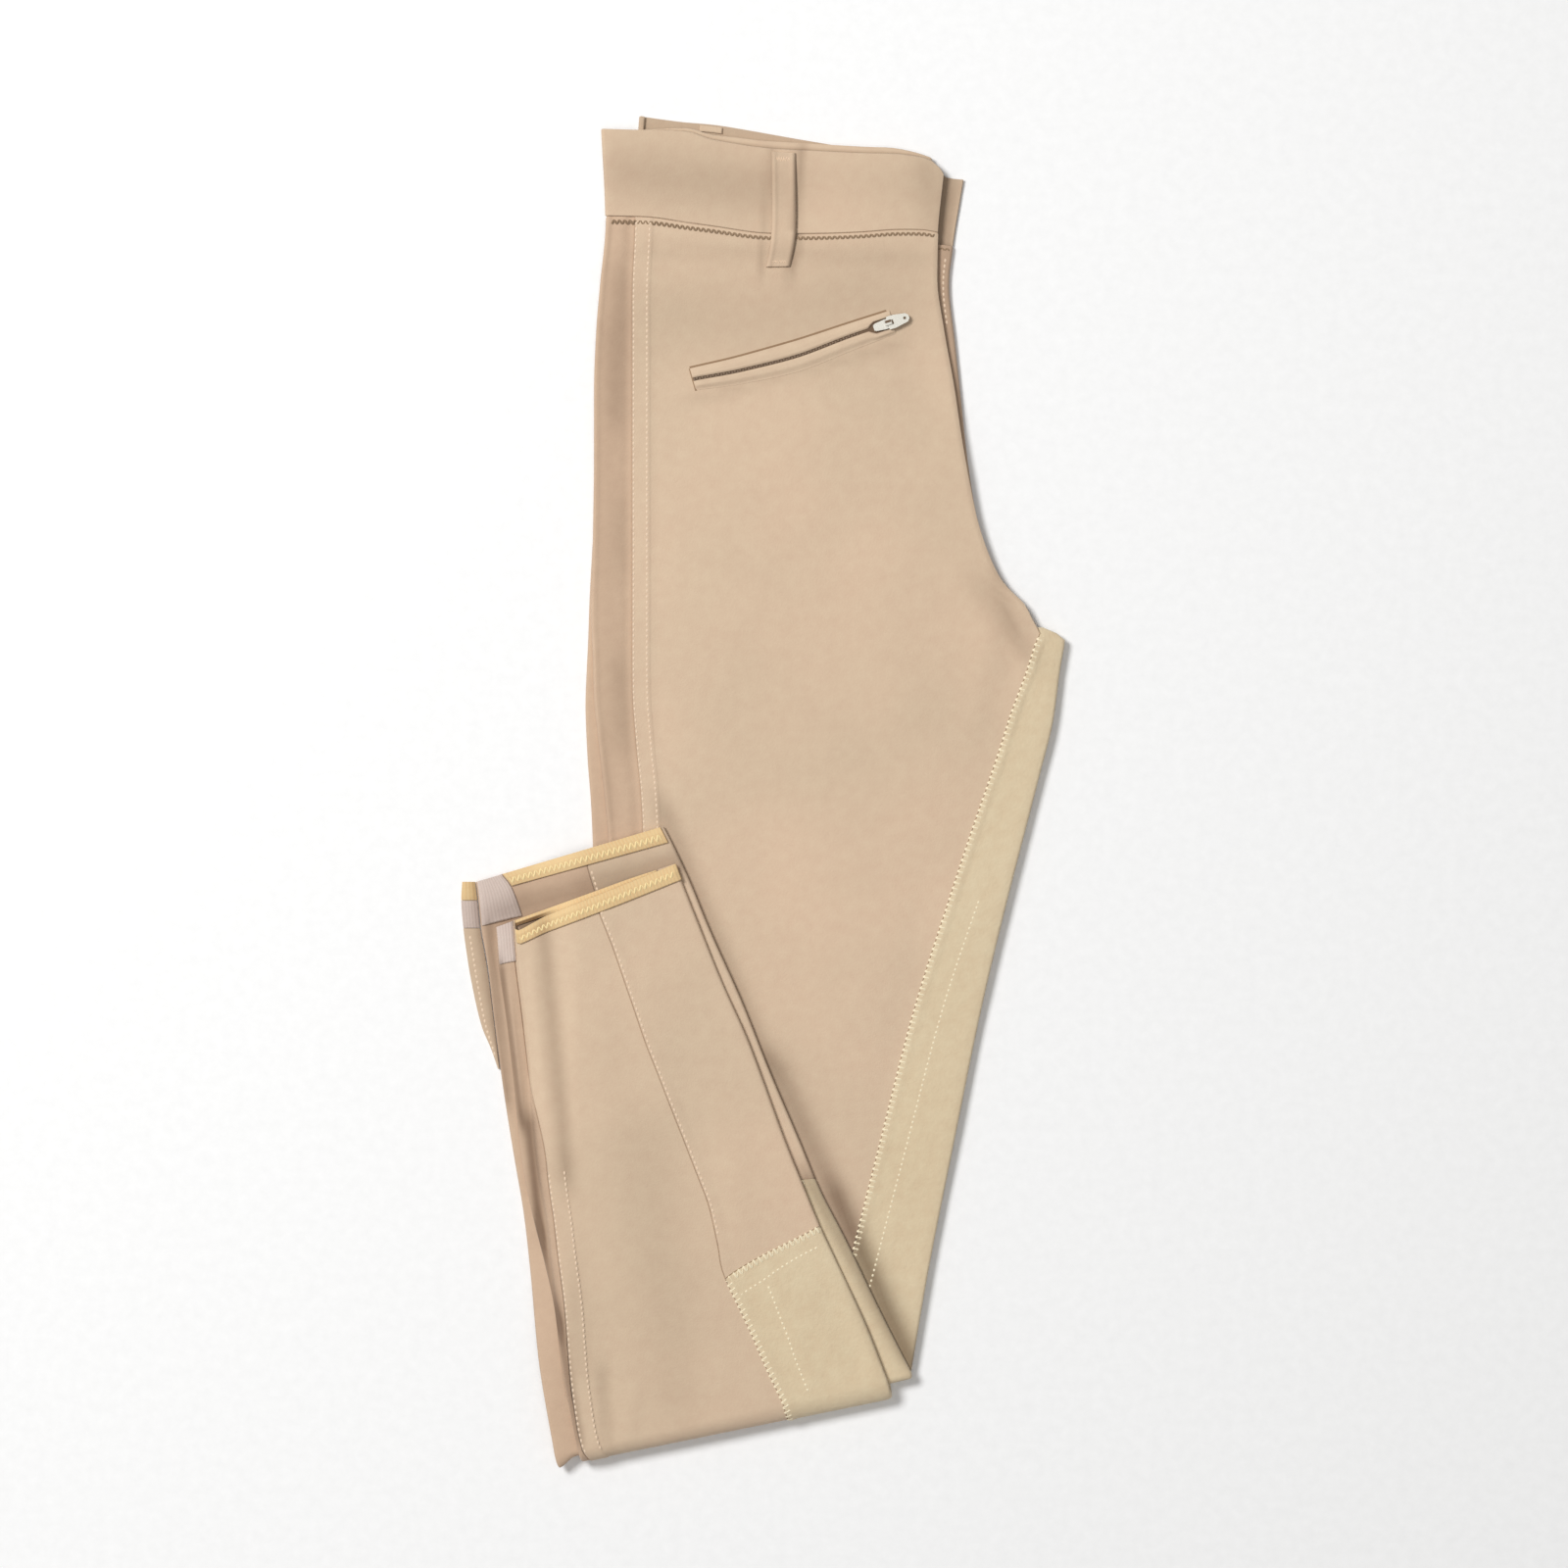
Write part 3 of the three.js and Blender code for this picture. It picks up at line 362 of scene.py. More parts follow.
def place(leg, s, across, depth, extra=0.0):
    row = leg.row(s)
    f = across / leg.width(s)
    x = mix(row["leftX"], row["rightX"], f)
    y = mix(row["leftY"], row["rightY"], f)
    if s < 3:
        rise = waistRise(round(clamp01(f), 4))
        seamRise = 0 if leg.far else rise["nearSeam"]
        if s < 1:
            y += mix(rise["farTop"] if leg.far else rise["nearTop"], seamRise, s)
        else:
            y += seamRise * (1 - (s - 1) / 2)
    if leg.far and s > hemSag["start"]:
        # The hem's upper layer sags, most at its left, and the lower one shows behind it.
        upperShare = clamp01((depth - leg.depth) / (bend - wall / 2)) * ease(
            (across - hemSag["from"]) / hemSag["run"])
        lower = hemSag["lower"] * (1 - ease((f - hemSag["lowerEnd"]) / (1 - hemSag["lowerEnd"])))
        y += ease((s - hemSag["start"]) / (hemFar - hemSag["start"])) * mix(
            lower, -between(hemSag["rows"], across), upperShare)
    if not leg.far and s < 1 and f > waistCorner["from"]:
        corner = clamp01((f - waistCorner["from"]) / (1 - waistCorner["from"]))
        y -= waistCorner["drop"] * corner ** 3 * (1 - s)
    if s < 0:
        y += between(backBand["peek"], f) * s / backBand["top"]
    turn = math.pi * clamp01(s - foldStart)
    if leg.far:
        more = fold["farReach"] * clamp01(f) * clamp01((depth - wall) / (legDepth - wall))
    else:
        more = fold["nearReach"] * (1 - ease(across / fold["nearRun"])) * clamp01(depth / legDepth)
    reach = (depth + more) * math.sin(turn)
    x += outX * reach
    y += outY * reach
    z = foldHeight - depth * math.cos(turn)
    if s > foldEnd:
        z -= (foldHeight + hairpin) * ease((between(dropLines, y) - x) / fold["dropRun"])
    z = z * (1 + softRise(x, y) / foldHeight) + reliefAt(leg, s, x, y, depth)
    point = (x + cloth["originX"], y + cloth["originY"], max(z, 0.0))
    # The point keeps its painted shade, with any painted shade given for the whole piece.
    shadeByPoint[point] = clamp01(paintedShadeAt(leg, s, x, y, depth) + extra)
    return point


def around(leg, s, girth):
    # Across, depth and outward direction of a place on the flattened tube of a leg.
    w = leg.width(s)
    right = w - edge
    across, side, front = girth, 0.0, 1.0
    if girth < edge:
        turn = min((edge - girth) / bend, math.pi)
        side, front = -math.sin(turn), math.cos(turn)
        across = edge + bend * side + max(edge - girth - roll, 0)
    elif girth > right:
        turn = min((girth - right) / bend, math.pi)
        side, front = math.sin(turn), math.cos(turn)
        across = right + bend * side - max(girth - right - roll, 0)
    depth = leg.depth + leg.face * bend * front
    if leg.far and s > foldEnd and front == 1:
        fade = clamp01(s - foldEnd - 0.2)
        start = ledgeAt(s)["from"]
        depth -= ledge["drop"] * fade * (1 - ease((across - start + ledge["run"]) / ledge["run"]))
    return (across, depth, side, leg.face * front)


def girthPoints(leg, s, girths):
    return [around(leg, s, g) for g in girths]


def onUnder(fromLeft):
    return 2 * edge - roll - fromLeft


def onUnderRight(leg, s, fromRight):
    return leg.width(s) - 2 * edge + roll + fromRight


def joined(*parts):
    # Lists end to end, where each next list starts on the last value of the one before.
    found = list(parts[0])
    for part in parts[1:]:
        found += part[1:]
    return found


def walk(leg, start, end, step):
    # Stations about the same distance apart, close together round the knee fold.
    found, s = [start], start
    while s < end - 1e-6:
        after = min(math.floor(s + 1e-6) + 1, end)
        a = place(leg, s, leg.width(s) / 2, leg.depth)
        b = place(leg, after, leg.width(after) / 2, leg.depth)
        count = max(1, round(math.dist(a, b) / step))
        if foldStart <= s and after <= foldEnd:
            count = max(2, round(22 * (after - s)))
        found += spread(s, after, count)[1:]
        s = after
    return found


def wallGrid(leg, stations, line, inner=-wall / 2, outer=wall / 2, dark=lambda s, across: 0.0):
    middle = stations[len(stations) // 2]
    first = line(middle(0.5) if callable(middle) else middle)
    last, ends = len(first) - 1, len(stations) - 1
    upper, lower = [], []
    for i, station in enumerate(stations):
        slanted = callable(station)
        points = None if slanted else line(station)
        top, bottom = [], []
        for j in range(last + 1):
            s = station(j / last) if slanted else station
            across, depth, side, front, *more = (line(s) if slanted else points)[j]
            lift = more[0] if more else 0
            a = inner(s) if callable(inner) else inner
            b = (outer(s) if callable(outer) else outer) + lift
            if i in (0, ends) or j in (0, last):
                a, b = mix(a, b, 0.2), mix(b, a, 0.35)
            # Painted shade given for this piece at this place.
            shade = dark(s, across)
            top.append(place(leg, s, across + side * b, depth + front * b, shade))
            bottom.append(place(leg, s, across + side * a, depth + front * a, shade))
        upper.append(top)
        lower.append(bottom)
    return upper, lower


def distances(points):
    # Metres from the first point to each, along them.
    found = [0.0]
    for a, b in zip(points, points[1:]):
        found.append(found[-1] + math.dist(a, b) / 1000)
    return found


def shellMesh(name, upper, lower):
    # A closed shell between two grids. Its UVs are metres across and along the cloth.
    rows, cols = len(upper), len(upper[0])
    count = rows * cols
    verts = [p for row in upper for p in row] + [p for row in lower for p in row]
    faces = []
    for i in range(rows - 1):
        for j in range(cols - 1):
            a = i * cols + j
            faces.append((a, a + 1, a + cols + 1, a + cols))
            faces.append((count + a, count + a + cols, count + a + cols + 1, count + a + 1))
    for j in range(cols - 1):
        a = (rows - 1) * cols + j
        faces.append((j + 1, j, count + j, count + j + 1))
        faces.append((a, a + 1, count + a + 1, count + a))
    for i in range(rows - 1):
        a = i * cols
        b = a + cols - 1
        faces.append((a, a + cols, count + a + cols, count + a))
        faces.append((b + cols, b, count + b, count + b + cols))
    mesh = bpy.data.meshes.new(name)
    mesh.from_pydata([[c / 1000 for c in v] for v in verts], [], faces)
    across, along = distances(upper[rows // 2]), distances([row[cols // 2] for row in upper])
    layer = mesh.uv_layers.new(name="cloth")
    for loop in mesh.loops:
        k = loop.vertex_index % count
        layer.data[loop.index].uv = (across[k % cols], along[k // cols])
    # Each point's painted shade goes into the "shade" attribute.
    shades = mesh.attributes.new("shade", "FLOAT", "POINT")
    for spot, v in zip(shades.data, verts):
        spot.value = shadeByPoint.get(tuple(v), 0.0)
    return finished(name, mesh)


def finished(name, mesh, smooth=40):
    work = bmesh.new()
    work.from_mesh(mesh)
    bmesh.ops.recalc_face_normals(work, faces=work.faces)
    work.to_mesh(mesh)
    work.free()
    piece = bpy.data.objects.new(name, mesh)
    bpy.context.collection.objects.link(piece)
    bpy.ops.object.select_all(action="DESELECT")
    bpy.context.view_layer.objects.active = piece
    piece.select_set(True)
    bpy.ops.object.shade_smooth_by_angle(angle=math.radians(smooth))
    piece.select_set(False)
    return piece


def dressed(piece, finish):
    material, slot = finish
    piece.data.materials.append(material)
    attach(piece, "garment")
    return piece


def detailPiece(name, verts, faces, finish, smooth=40):
    mesh = bpy.data.meshes.new(name)
    mesh.from_pydata([v / 1000 for v in verts], [], faces)
    return dressed(finished(name, mesh, smooth), finish)


def flatSize(upper):
    # The cloth's own width, length and area in metres, measured along its grid.
    widths = [lengthOf(row) for row in upper]
    lengths = [lengthOf(column) for column in zip(*upper)]
    area = sum(0.5 * (widths[i] + widths[i + 1]) * sum(
        math.dist(a, b) for a, b in zip(upper[i], upper[i + 1])) / len(upper[i])
        for i in range(len(upper) - 1))
    # The middle value: some grid lines run slanting, and are longer than the cloth.
    size = (max(widths) / 1000, sorted(lengths)[len(lengths) // 2] / 1000)
    return size, min(area / 1e6, size[0] * size[1])


def clothPiece(node, leg, stations, line, finish, **more):
    upper, lower = wallGrid(leg, stations, line, **more)
    declareCloth(shellMesh(f"{node}_cloth", upper, lower), [node], upper, finish)


sheetLeast = {"side": 0.0101, "areaShare": 0.3}


def declareCloth(piece, nodes, upper, finish):
    dressed(piece, finish)
    size, area = flatSize(upper)
    size = tuple(max(v, sheetLeast["side"]) for v in size)
    area = max(min(area, size[0] * size[1]), sheetLeast["areaShare"] * size[0] * size[1])
    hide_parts(*nodes)
    print(f"sheet {piece.name}: flat {size[0]:.3f} by {size[1]:.3f} m, area {area:.4f}")


def newGroup(name, inputs, outputs):
    group = bpy.data.node_groups.new(name, "ShaderNodeTree")
    for label, value in inputs.items():
        kind = "NodeSocketVector" if value is None else "NodeSocketFloat"
        socket = group.interface.new_socket(name=label, in_out="INPUT", socket_type=kind)
        if value is not None:
            socket.default_value = value
    for label in outputs:
        group.interface.new_socket(name=label, in_out="OUTPUT", socket_type="NodeSocketFloat")
    return group, group.nodes.new("NodeGroupInput").outputs, group.nodes.new("NodeGroupOutput").inputs


def addNode(tree, kind, inputs, **settings):
    # Each input gets a value, or a link from another node's output.
    node = tree.nodes.new("ShaderNode" + kind)
    for key, value in settings.items():
        setattr(node, key, value)
    for socket, value in inputs.items():
        if isinstance(value, bpy.types.NodeSocket):
            tree.links.new(value, node.inputs[socket])
        else:
            node.inputs[socket].default_value = value
    return node.outputs


def mixColours(tree, factor, a, b, blend="MIX"):
    return addNode(tree, "Mix", {"Factor": factor, "A": a, "B": b}, data_type="RGBA",
                   blend_type=blend)["Result"]


def makeGrain():
    # Fine surface of a cloth: height for a bump and a light and dark fleck.
    group, given, out = newGroup("clothGrain", {"Vector": None, "Size": 900.0}, ["Height", "Fleck"])
    fine = addNode(group, "TexNoise", {"Vector": given["Vector"], "Scale": given["Size"],
                                       "Detail": 4, "Roughness": 0.65})["Fac"]
    slub = addNode(group, "TexNoise", {"Vector": given["Vector"], "Scale": 160,
                                       "Detail": 5, "Roughness": 0.6})["Fac"]
    both = addNode(group, "Math", {0: slub, 1: 0.6, 2: fine}, operation="MULTIPLY_ADD")["Value"]
    group.links.new(both, out["Height"])
    group.links.new(slub, out["Fleck"])
    return group


def makeDrift():
    # Large soft changes of tone.
    group, given, out = newGroup("toneDrift", {"Vector": None}, ["Tone"])
    broad = addNode(group, "TexNoise", {"Vector": given["Vector"], "Scale": 9, "Detail": 2})["Fac"]
    tone = addNode(group, "MapRange", {"Value": broad, "From Min": 0.3, "From Max": 0.7})["Result"]
    group.links.new(tone, out["Tone"])
    return group


def makeRibs():
    # Ribs across a band, from the piece's own UVs.
    group, given, out = newGroup("rowRibs", {"Vector": None, "Count": 400.0}, ["Rib"])
    across = addNode(group, "SeparateXYZ", {"Vector": given["Vector"]})["X"]
    times = addNode(group, "Math", {0: across, 1: given["Count"]}, operation="MULTIPLY")["Value"]
    wave = addNode(group, "Math", {0: times}, operation="SINE")["Value"]
    rib = addNode(group, "MapRange", {"Value": wave, "From Min": -1})["Result"]
    group.links.new(rib, out["Rib"])
    return group


grainGroup, driftGroup, ribGroup = makeGrain(), makeDrift(), makeRibs()


def startMaterial(name, size):
    material = bpy.data.materials.new(name)
    material.use_nodes = True
    tree = material.node_tree
    coords = addNode(tree, "TexCoord", {})
    grain = addNode(tree, "Group", {"Vector": coords["Object"], "Size": size}, node_tree=grainGroup)
    return material, tree, coords, grain


def finishMaterial(tree, colour, height, strength, distance, values):
    relief = addNode(tree, "Bump", {"Strength": strength, "Distance": distance, "Height": height})
    shader = tree.nodes["Principled BSDF"]
    tree.links.new(colour, shader.inputs["Base Color"])
    tree.links.new(relief["Normal"], shader.inputs["Normal"])
    for socket, value in values.items():
        shader.inputs[socket].default_value = value


def makeCloth(name, base, dark, fleck, size, bump, rough, sheen, ribs=None):
    material, tree, coords, grain = startMaterial(name, size)
    drift = addNode(tree, "Group", {"Vector": coords["Object"]}, node_tree=driftGroup)["Tone"]
    tone = mixColours(tree, drift, (*dark, 1), (*base, 1))
    colour, height = mixColours(tree, fleck, tone, grain["Fleck"], "OVERLAY"), grain["Height"]
    if ribs:
        count, share = ribs
        rib = addNode(tree, "Group", {"Vector": coords["UV"], "Count": count}, node_tree=ribGroup)["Rib"]
        height = addNode(tree, "Math", {0: rib, 1: share, 2: height}, operation="MULTIPLY_ADD")["Value"]
        colour = mixColours(tree, rib, (*[c * 0.92 for c in base], 1), colour)
    # The "shade" attribute carries painted shade: the cloth is mixed towards a deep warm brown where shade
    # falls.
    shade = addNode(tree, "Attribute", {}, attribute_name="shade")["Fac"]
    shadeColour = (base[0] * 0.12, base[1] * 0.06, base[2] * 0.02, 1)
    finishMaterial(tree, mixColours(tree, shade, colour, shadeColour), height, 0.6, bump, {
        "Roughness": rough, "Sheen Weight": sheen, "Sheen Roughness": 0.5,
        "Specular IOR Level": 0.25})
    return material


def makePlain(name, base, rough, metal=0.0, bump=0.0, size=300.0):
    material, tree, coords, grain = startMaterial(name, size)
    colour = mixColours(tree, grain["Fleck"], (*[c * 0.9 for c in base], 1), (*base, 1))
    finishMaterial(tree, colour, grain["Height"], 0.5, bump, {"Roughness": rough, "Metallic": metal})
    return material


# Each finish is a material and its slot. The slider and its tab have their slot from the frame.
breechCloth = (makeCloth("breechCloth", (0.655, 0.485, 0.345), (0.6, 0.46, 0.325), fleck=0.1, size=900,
                         bump=0.0003, rough=0.82, sheen=0.2), "breech_cloth")
# The back panels and the fly take a darker copy of the same cloth: painted shade.
shadedBackCloth = (makeCloth("breechClothShaded", (0.575, 0.415, 0.29), (0.54, 0.38, 0.265), fleck=0.1,
                       size=900, bump=0.0003, rough=0.82, sheen=0.2), "breech_cloth")
suede = (makeCloth("patchSuede", (0.685, 0.56, 0.38), (0.65, 0.52, 0.345), fleck=0.15, size=500,
                   bump=0.0005, rough=0.95, sheen=0.3), "patch_suede")
hemTape = (makeCloth("hemTape", (0.82, 0.6, 0.32), (0.74, 0.5, 0.25), fleck=0.2, size=700,
                     bump=0.0003, rough=0.8, sheen=0.2, ribs=(2 * math.pi / 0.0019, 0.5)), "hem_tape")
cuffKnit = (makeCloth("cuffKnit", (0.66, 0.54, 0.475), (0.62, 0.5, 0.44), fleck=0.15, size=700,
                      bump=0.0004, rough=0.85, sheen=0.3, ribs=(2 * math.pi / 0.0016, 0.6)), "cuff_knit")
creamThread = (makePlain("creamThread", (0.9, 0.79, 0.57), 0.7, bump=0.0001), "patch_suede")
goldThread = (makePlain("goldThread", (0.88, 0.7, 0.38), 0.7, bump=0.0001), "hem_tape")
brownThread = (makePlain("brownThread", (0.3, 0.2, 0.12), 0.8, bump=0.0001), "breech_cloth")
beigeThread = (makePlain("beigeThread", (0.78, 0.6, 0.44), 0.7, bump=0.0001), "breech_cloth")
zipMetal = makePlain("zipMetal", (0.6, 0.58, 0.52), 0.42, metal=1.0, bump=0.00004, size=500)
zipCoil = (makePlain("zipCoil", (0.2, 0.13, 0.08), 0.6, bump=0.0001), "zip_metal")
zipTape = (makePlain("zipTape", (0.16, 0.1, 0.06), 0.9, bump=0.0002), "breech_cloth")
# The slider's slot takes the dark zip tape colour: painted shade.
sliderSlotShade = (zipTape[0], "zip_metal")
# A dark brown for the pocket window's edge: painted shade.
pocketEdgeShade = (makePlain("pocketEdgeShade", (0.3, 0.19, 0.11), 0.9, bump=0.0001), "breech_cloth")
print("materials ready")

# A lapped seam: a double layer, raised over the seam allowance, with a sunk line beside it.
seamGap = 0.06
rowStep = 4.5
belowWaist = 1.003
lap = {"wide": 9.0, "soft": 1.1, "high": 0.5}


def lapLift(off, wide=lap["wide"], high=lap["high"], soft=lap["soft"]):
    return high * ease(off / 0.5) * (1 - ease((off - wide) / soft))


def raised(leg, s, seamAt, girths, share=1.0):
    return [(*around(leg, s, g), lapLift(g - seamAt) * share) for g in girths]


thighStations = walk(near, belowWaist, foldStart, rowStep)
foldStations = walk(near, foldStart, foldEnd, 1)[1:]


def shinStations(leg, hem):
    return walk(leg, foldEnd, hem, rowStep)[1:]


def ends(stations, gap=0.03):
    # A second row just inside each end, for its rounding.
    return [stations[0], stations[0] + gap, *stations[1:-1], stations[-1] - gap, stations[-1]]


def inside(girths, gap=0.45):
    # A second column just inside each side.
    way = 1 if girths[-1] > girths[0] else -1
    return [girths[0], girths[0] + gap * way, *girths[1:-1], girths[-1] - gap * way, girths[-1]]


bandStations = ends(spread(0, 1, 12), 0.012)
bandOuter = wall / 2 + cloth["bandExtra"]


def nearBandLine(s):
    w = near.width(s)
    return girthPoints(near, s, inside(joined(
        spread(onUnder(lip), edge - roll, 3), spread(edge - roll, edge, 8),
        spread(edge, w - 3, 46), [w - 3, w - 1.8, w - 0.6])))


clothPiece("waistband_front_near", near, bandStations, nearBandLine,
           breechCloth, outer=bandOuter)

backBand = {"top": -0.09, "farStart": 28.0, "turn": (wall + seam) / 2, "peek": [
    [0, 0], [0.1, 0.2], [0.2, 1.2], [0.4, 3.4], [0.53, 3.8], [0.84, 3.3], [0.95, 1.6], [1, 1.2]]}


def backBandLine(s):
    middle = hairpin + legDepth + seam / 2
    right, turn = near.width(s) - 8, backBand["turn"]
    turned = [(right + turn * math.sin(a), middle - turn * math.cos(a), math.sin(a), -math.cos(a))
              for a in spread(0, math.pi, 8)]
    upperLayer = [(a, middle - turn, 0, -1)
                  for a in inside(spread(edge + lip + 1, right, 34))[:-2]]
    lowerLayer = [(a, middle + turn, 0, 1) for a in spread(right, backBand["farStart"], 34)[1:]]
    return upperLayer + turned + lowerLayer


# Below its rolled top edge the back band is darker down to its middle: painted shade where it lies behind
# the near band.
clothPiece("waistband_back", near,
           ends([backBand["top"], -0.05, -0.02, *spread(0, 1, 12)], 0.012), backBandLine, breechCloth,
           dark=lambda s, across: 0.45 * clamp01((s + 0.032) / 0.03) * (s < 0.5))


def farBandLine(s):
    w = far.width(s)
    return girthPoints(far, s, inside(joined(
        spread(onUnder(3), edge - roll, 2), spread(edge - roll, edge, 8),
        spread(edge, w - edge, 44), spread(w - edge, w - edge + math.pi / 2 * bend, 5))))


# The far band is darker all over, more so near its right end beside the near band: painted shade.
clothPiece("waistband_front_far", far, bandStations, farBandLine,
           breechCloth,
           dark=lambda s, across: 0.22 + 0.2 * clamp01((172 - across) / 3) * clamp01((across - 150) / 5))

loop = {"wide": 13.0, "top": 90.4, "bottom": 86.6, "end": 1.6, "thick": 1.1, "bow": 0.9,
        "rolled": 0.5, "hollow": 0.55, "farLeft": 33, "farRight": 45}


def loopBase(s):
    bow = loop["bow"] * math.sin(math.pi * clamp01((s - 0.1) / (loop["end"] - 0.2)))
    return wall / 2 + seam + cloth["bandExtra"] * (1 - ease((s - 1) / 0.15)) + bow


def nearLoopLine(s):
    # A folded tube, its two sides rolled and its middle a little hollow.
    left = mix(loop["top"], loop["bottom"], s / loop["end"])
    found = []
    for w in inside(spread(0, loop["wide"], 18)):
        fromSide = min(w, loop["wide"] - w)
        lift = loop["rolled"] * math.exp(-((fromSide - 1.7) / 1.1) ** 2)
        lift -= loop["hollow"] * (1 - ease(fromSide))
        found.append((*around(near, s, left + w), lift))
    return found


clothPiece("belt_loop_near", near,
           ends(walk(near, 0.04, 1.0, 3) + walk(near, 1.0, loop["end"], 2)[1:], 0.012), nearLoopLine,
           breechCloth, inner=loopBase, outer=lambda s: loopBase(s) + loop["thick"])


def farLoopLine(s):
    return [(a, far.depth + bend, 0, -1) for a in inside(spread(loop["farLeft"], loop["farRight"], 8))]


clothPiece("belt_loop_far", far, ends(spread(0.02, 0.09, 3), 0.01),
           farLoopLine, breechCloth, inner=wall / 2 + seam,
           outer=wall / 2 + seam + loop["thick"])
print("waistbands and belt loops ready")


def nearFrontEdge(s):
    inner = near.row(s)["inner"] + seamGap / 2
    return near.width(s) - (mix(edge - 1.5, inner, clamp01(s - crotch + 1)) if s < crotch else inner)


def nearFrontLine(s):
    left, right = near.row(s)["side"] + seamGap / 2, nearFrontEdge(s)
    return raised(near, s, left, inside(joined(
        spread(left, left + 2, 3), [left + 2, left + 4.5, left + 7.4], spread(left + 7.4, left + 10.4, 4),
        spread(left + 10.4, right - 3, 44), [right - 3, right - 1.5, right])))


# The strip beside a side seam: sunk next to the ridge, then rounding away.
strip = {"sunk": 0.75, "at": 2.2, "wide": 3.0, "fall": 0.65}


def stripLift(off, wide):
    hollow = strip["sunk"] * math.exp(-((off - strip["at"]) / strip["wide"]) ** 2)
    return -min(hollow + strip["fall"] * ease((off / wide - 0.45) / 0.55), 0.85)


clothPiece("front_panel_near", near,
           ends(thighStations + foldStations + shinStations(near, hemNear)), nearFrontLine,
           breechCloth)


def nearBackLine(s):
    side = near.row(s)["side"] - seamGap / 2
    under = spread(edge, edge + mix(lip, foldLip, clamp01((s - 17) / 2)), 34)
    full = spread(edge, near.width(s) - between(backSeamRows, s) - seamGap, 34)
    t = clamp01((s - fold["fullFrom"]) / (fold["fullAt"] - fold["fullFrom"]))
    girths = inside(joined(
        spread(side, edge, 14), spread(edge, edge - roll, 8),
        [onUnder(mix(a, b, t)) for a, b in zip(under, full)]))
    return [(*around(near, s, g), stripLift(side - g, side - edge) * clamp01((g - edge) / 2)
             * clamp01(foldEnd - s)) for g in girths]


clothPiece("back_panel_near", near,
           ends(thighStations + foldStations + [fold["fullFrom"], 21.15, 21.25, fold["fullAt"]]
                + walk(near, fold["fullAt"], hemNear, rowStep)[1:]), nearBackLine,
           shadedBackCloth)

# The inner leg pieces lie over the front with a raised edge, the suede thicker all over.
innerEdge = {"wide": 3.2, "high": 0.4, "suede": 0.3}


def innerLift(leg, s, g, isSuede):
    w = leg.width(s)
    off = g - (w - leg.row(s)["inner"])
    flat = clamp01((w - edge - g) / 3)
    return (lapLift(off, innerEdge["wide"], innerEdge["high"], 2) + (innerEdge["suede"] if isSuede else 0)
            * ease(off / 0.4)) * flat


innerColumns = {"near": {"top": 18, "turn": 8, "under": 10}, "far": {"top": 20, "turn": 8, "under": 3}}


def innerLine(leg, isSuede):
    columns = innerColumns["far" if leg.far else "near"]

    def line(s):
        w, inner = leg.width(s), leg.row(s)["inner"]
        underEnd = edge + lip if leg.far else between(backSeamRows, s)
        girths = inside(joined(
            spread(w - inner + seamGap / 2, w - edge, columns["top"]),
            spread(w - edge, w - edge + roll, columns["turn"]),
            [onUnderRight(leg, s, a) for a in spread(edge, underEnd, columns["under"])]), 0.3)
        return [(*around(leg, s, g), innerLift(leg, s, g, isSuede)) for g in girths]
    return line


clothPiece("thigh_patch_near", near,
           ends(walk(near, crotch + 0.05, foldStart, rowStep) + foldStations
                + walk(near, foldEnd, fold["patchEndNear"], rowStep)[1:]),
           innerLine(near, True), suede)
clothPiece("shin_panel_near", near,
           ends(walk(near, fold["patchEndNear"] + 0.003, hemNear, rowStep)),
           innerLine(near, False), breechCloth)
print("near leg ready")


def farSide(s):
    # The visible side seam moves to the lap's outer edge after the knee fold.
    return far.row(s)["side"] - 4.3 * ease(s - 20.3) * (1 - ease((s - 24.5) / 2.5))


def farFrontLine(s):
    left = farSide(s) + seamGap / 2
    right = far.width(s) - far.row(s)["inner"] - seamGap / 2
    return raised(far, s, left, inside(joined(
        spread(left, left + 13, 17), spread(left + 13, right, 40))), 1 - ease((s - 25) / 2))


clothPiece("front_panel_far", far,
           ends(thighStations + foldStations + shinStations(far, hemFar)), farFrontLine,
           breechCloth)


def flyLine(s):
    w = far.width(s)
    return girthPoints(far, s, inside(joined(
        spread(w - cloth["flyWidth"] + seamGap / 2, w - edge, 6),
        spread(w - edge, w - edge + roll, 8),
        [onUnderRight(far, s, a) for a in spread(edge, edge + lip, 3)])))


# The fly is darker again: painted shade.
clothPiece("fly_far", far, ends(walk(far, belowWaist, crotch - 0.03, 4)), flyLine,
           shadedBackCloth, dark=lambda s, across: 0.2)


def slantAt(shift, f):
    # The knee patch's end rises from the seam to the pressed edge.
    columns = innerColumns["far"]
    column = f * (sum(columns.values()) + 2)
    return fold["patchEndFar"] + shift + clamp01((column - 1) / columns["top"])


def patchRow(part, start=fold["slantFrom"], shift=0.0):
    return lambda f: mix(start, slantAt(shift, f), part)


clothPiece("thigh_patch_far", far,
           [*ends(walk(far, crotch, foldStart, rowStep) + foldStations
                  + walk(far, foldEnd, fold["slantFrom"], rowStep)[1:])[:-2],
            *[patchRow(k / 9) for k in range(9)], patchRow(1, shift=-0.02), patchRow(1)],
           innerLine(far, True), suede)
clothPiece("shin_panel_far", far,
           [patchRow(1, shift=0.003), patchRow(1, shift=0.02),
            *[patchRow(1 - k / 8, fold["slantEnd"], 0.01) for k in range(1, 8)],
            *ends(walk(far, fold["slantEnd"], hemFar, rowStep))[2:]],
           innerLine(far, False), breechCloth)


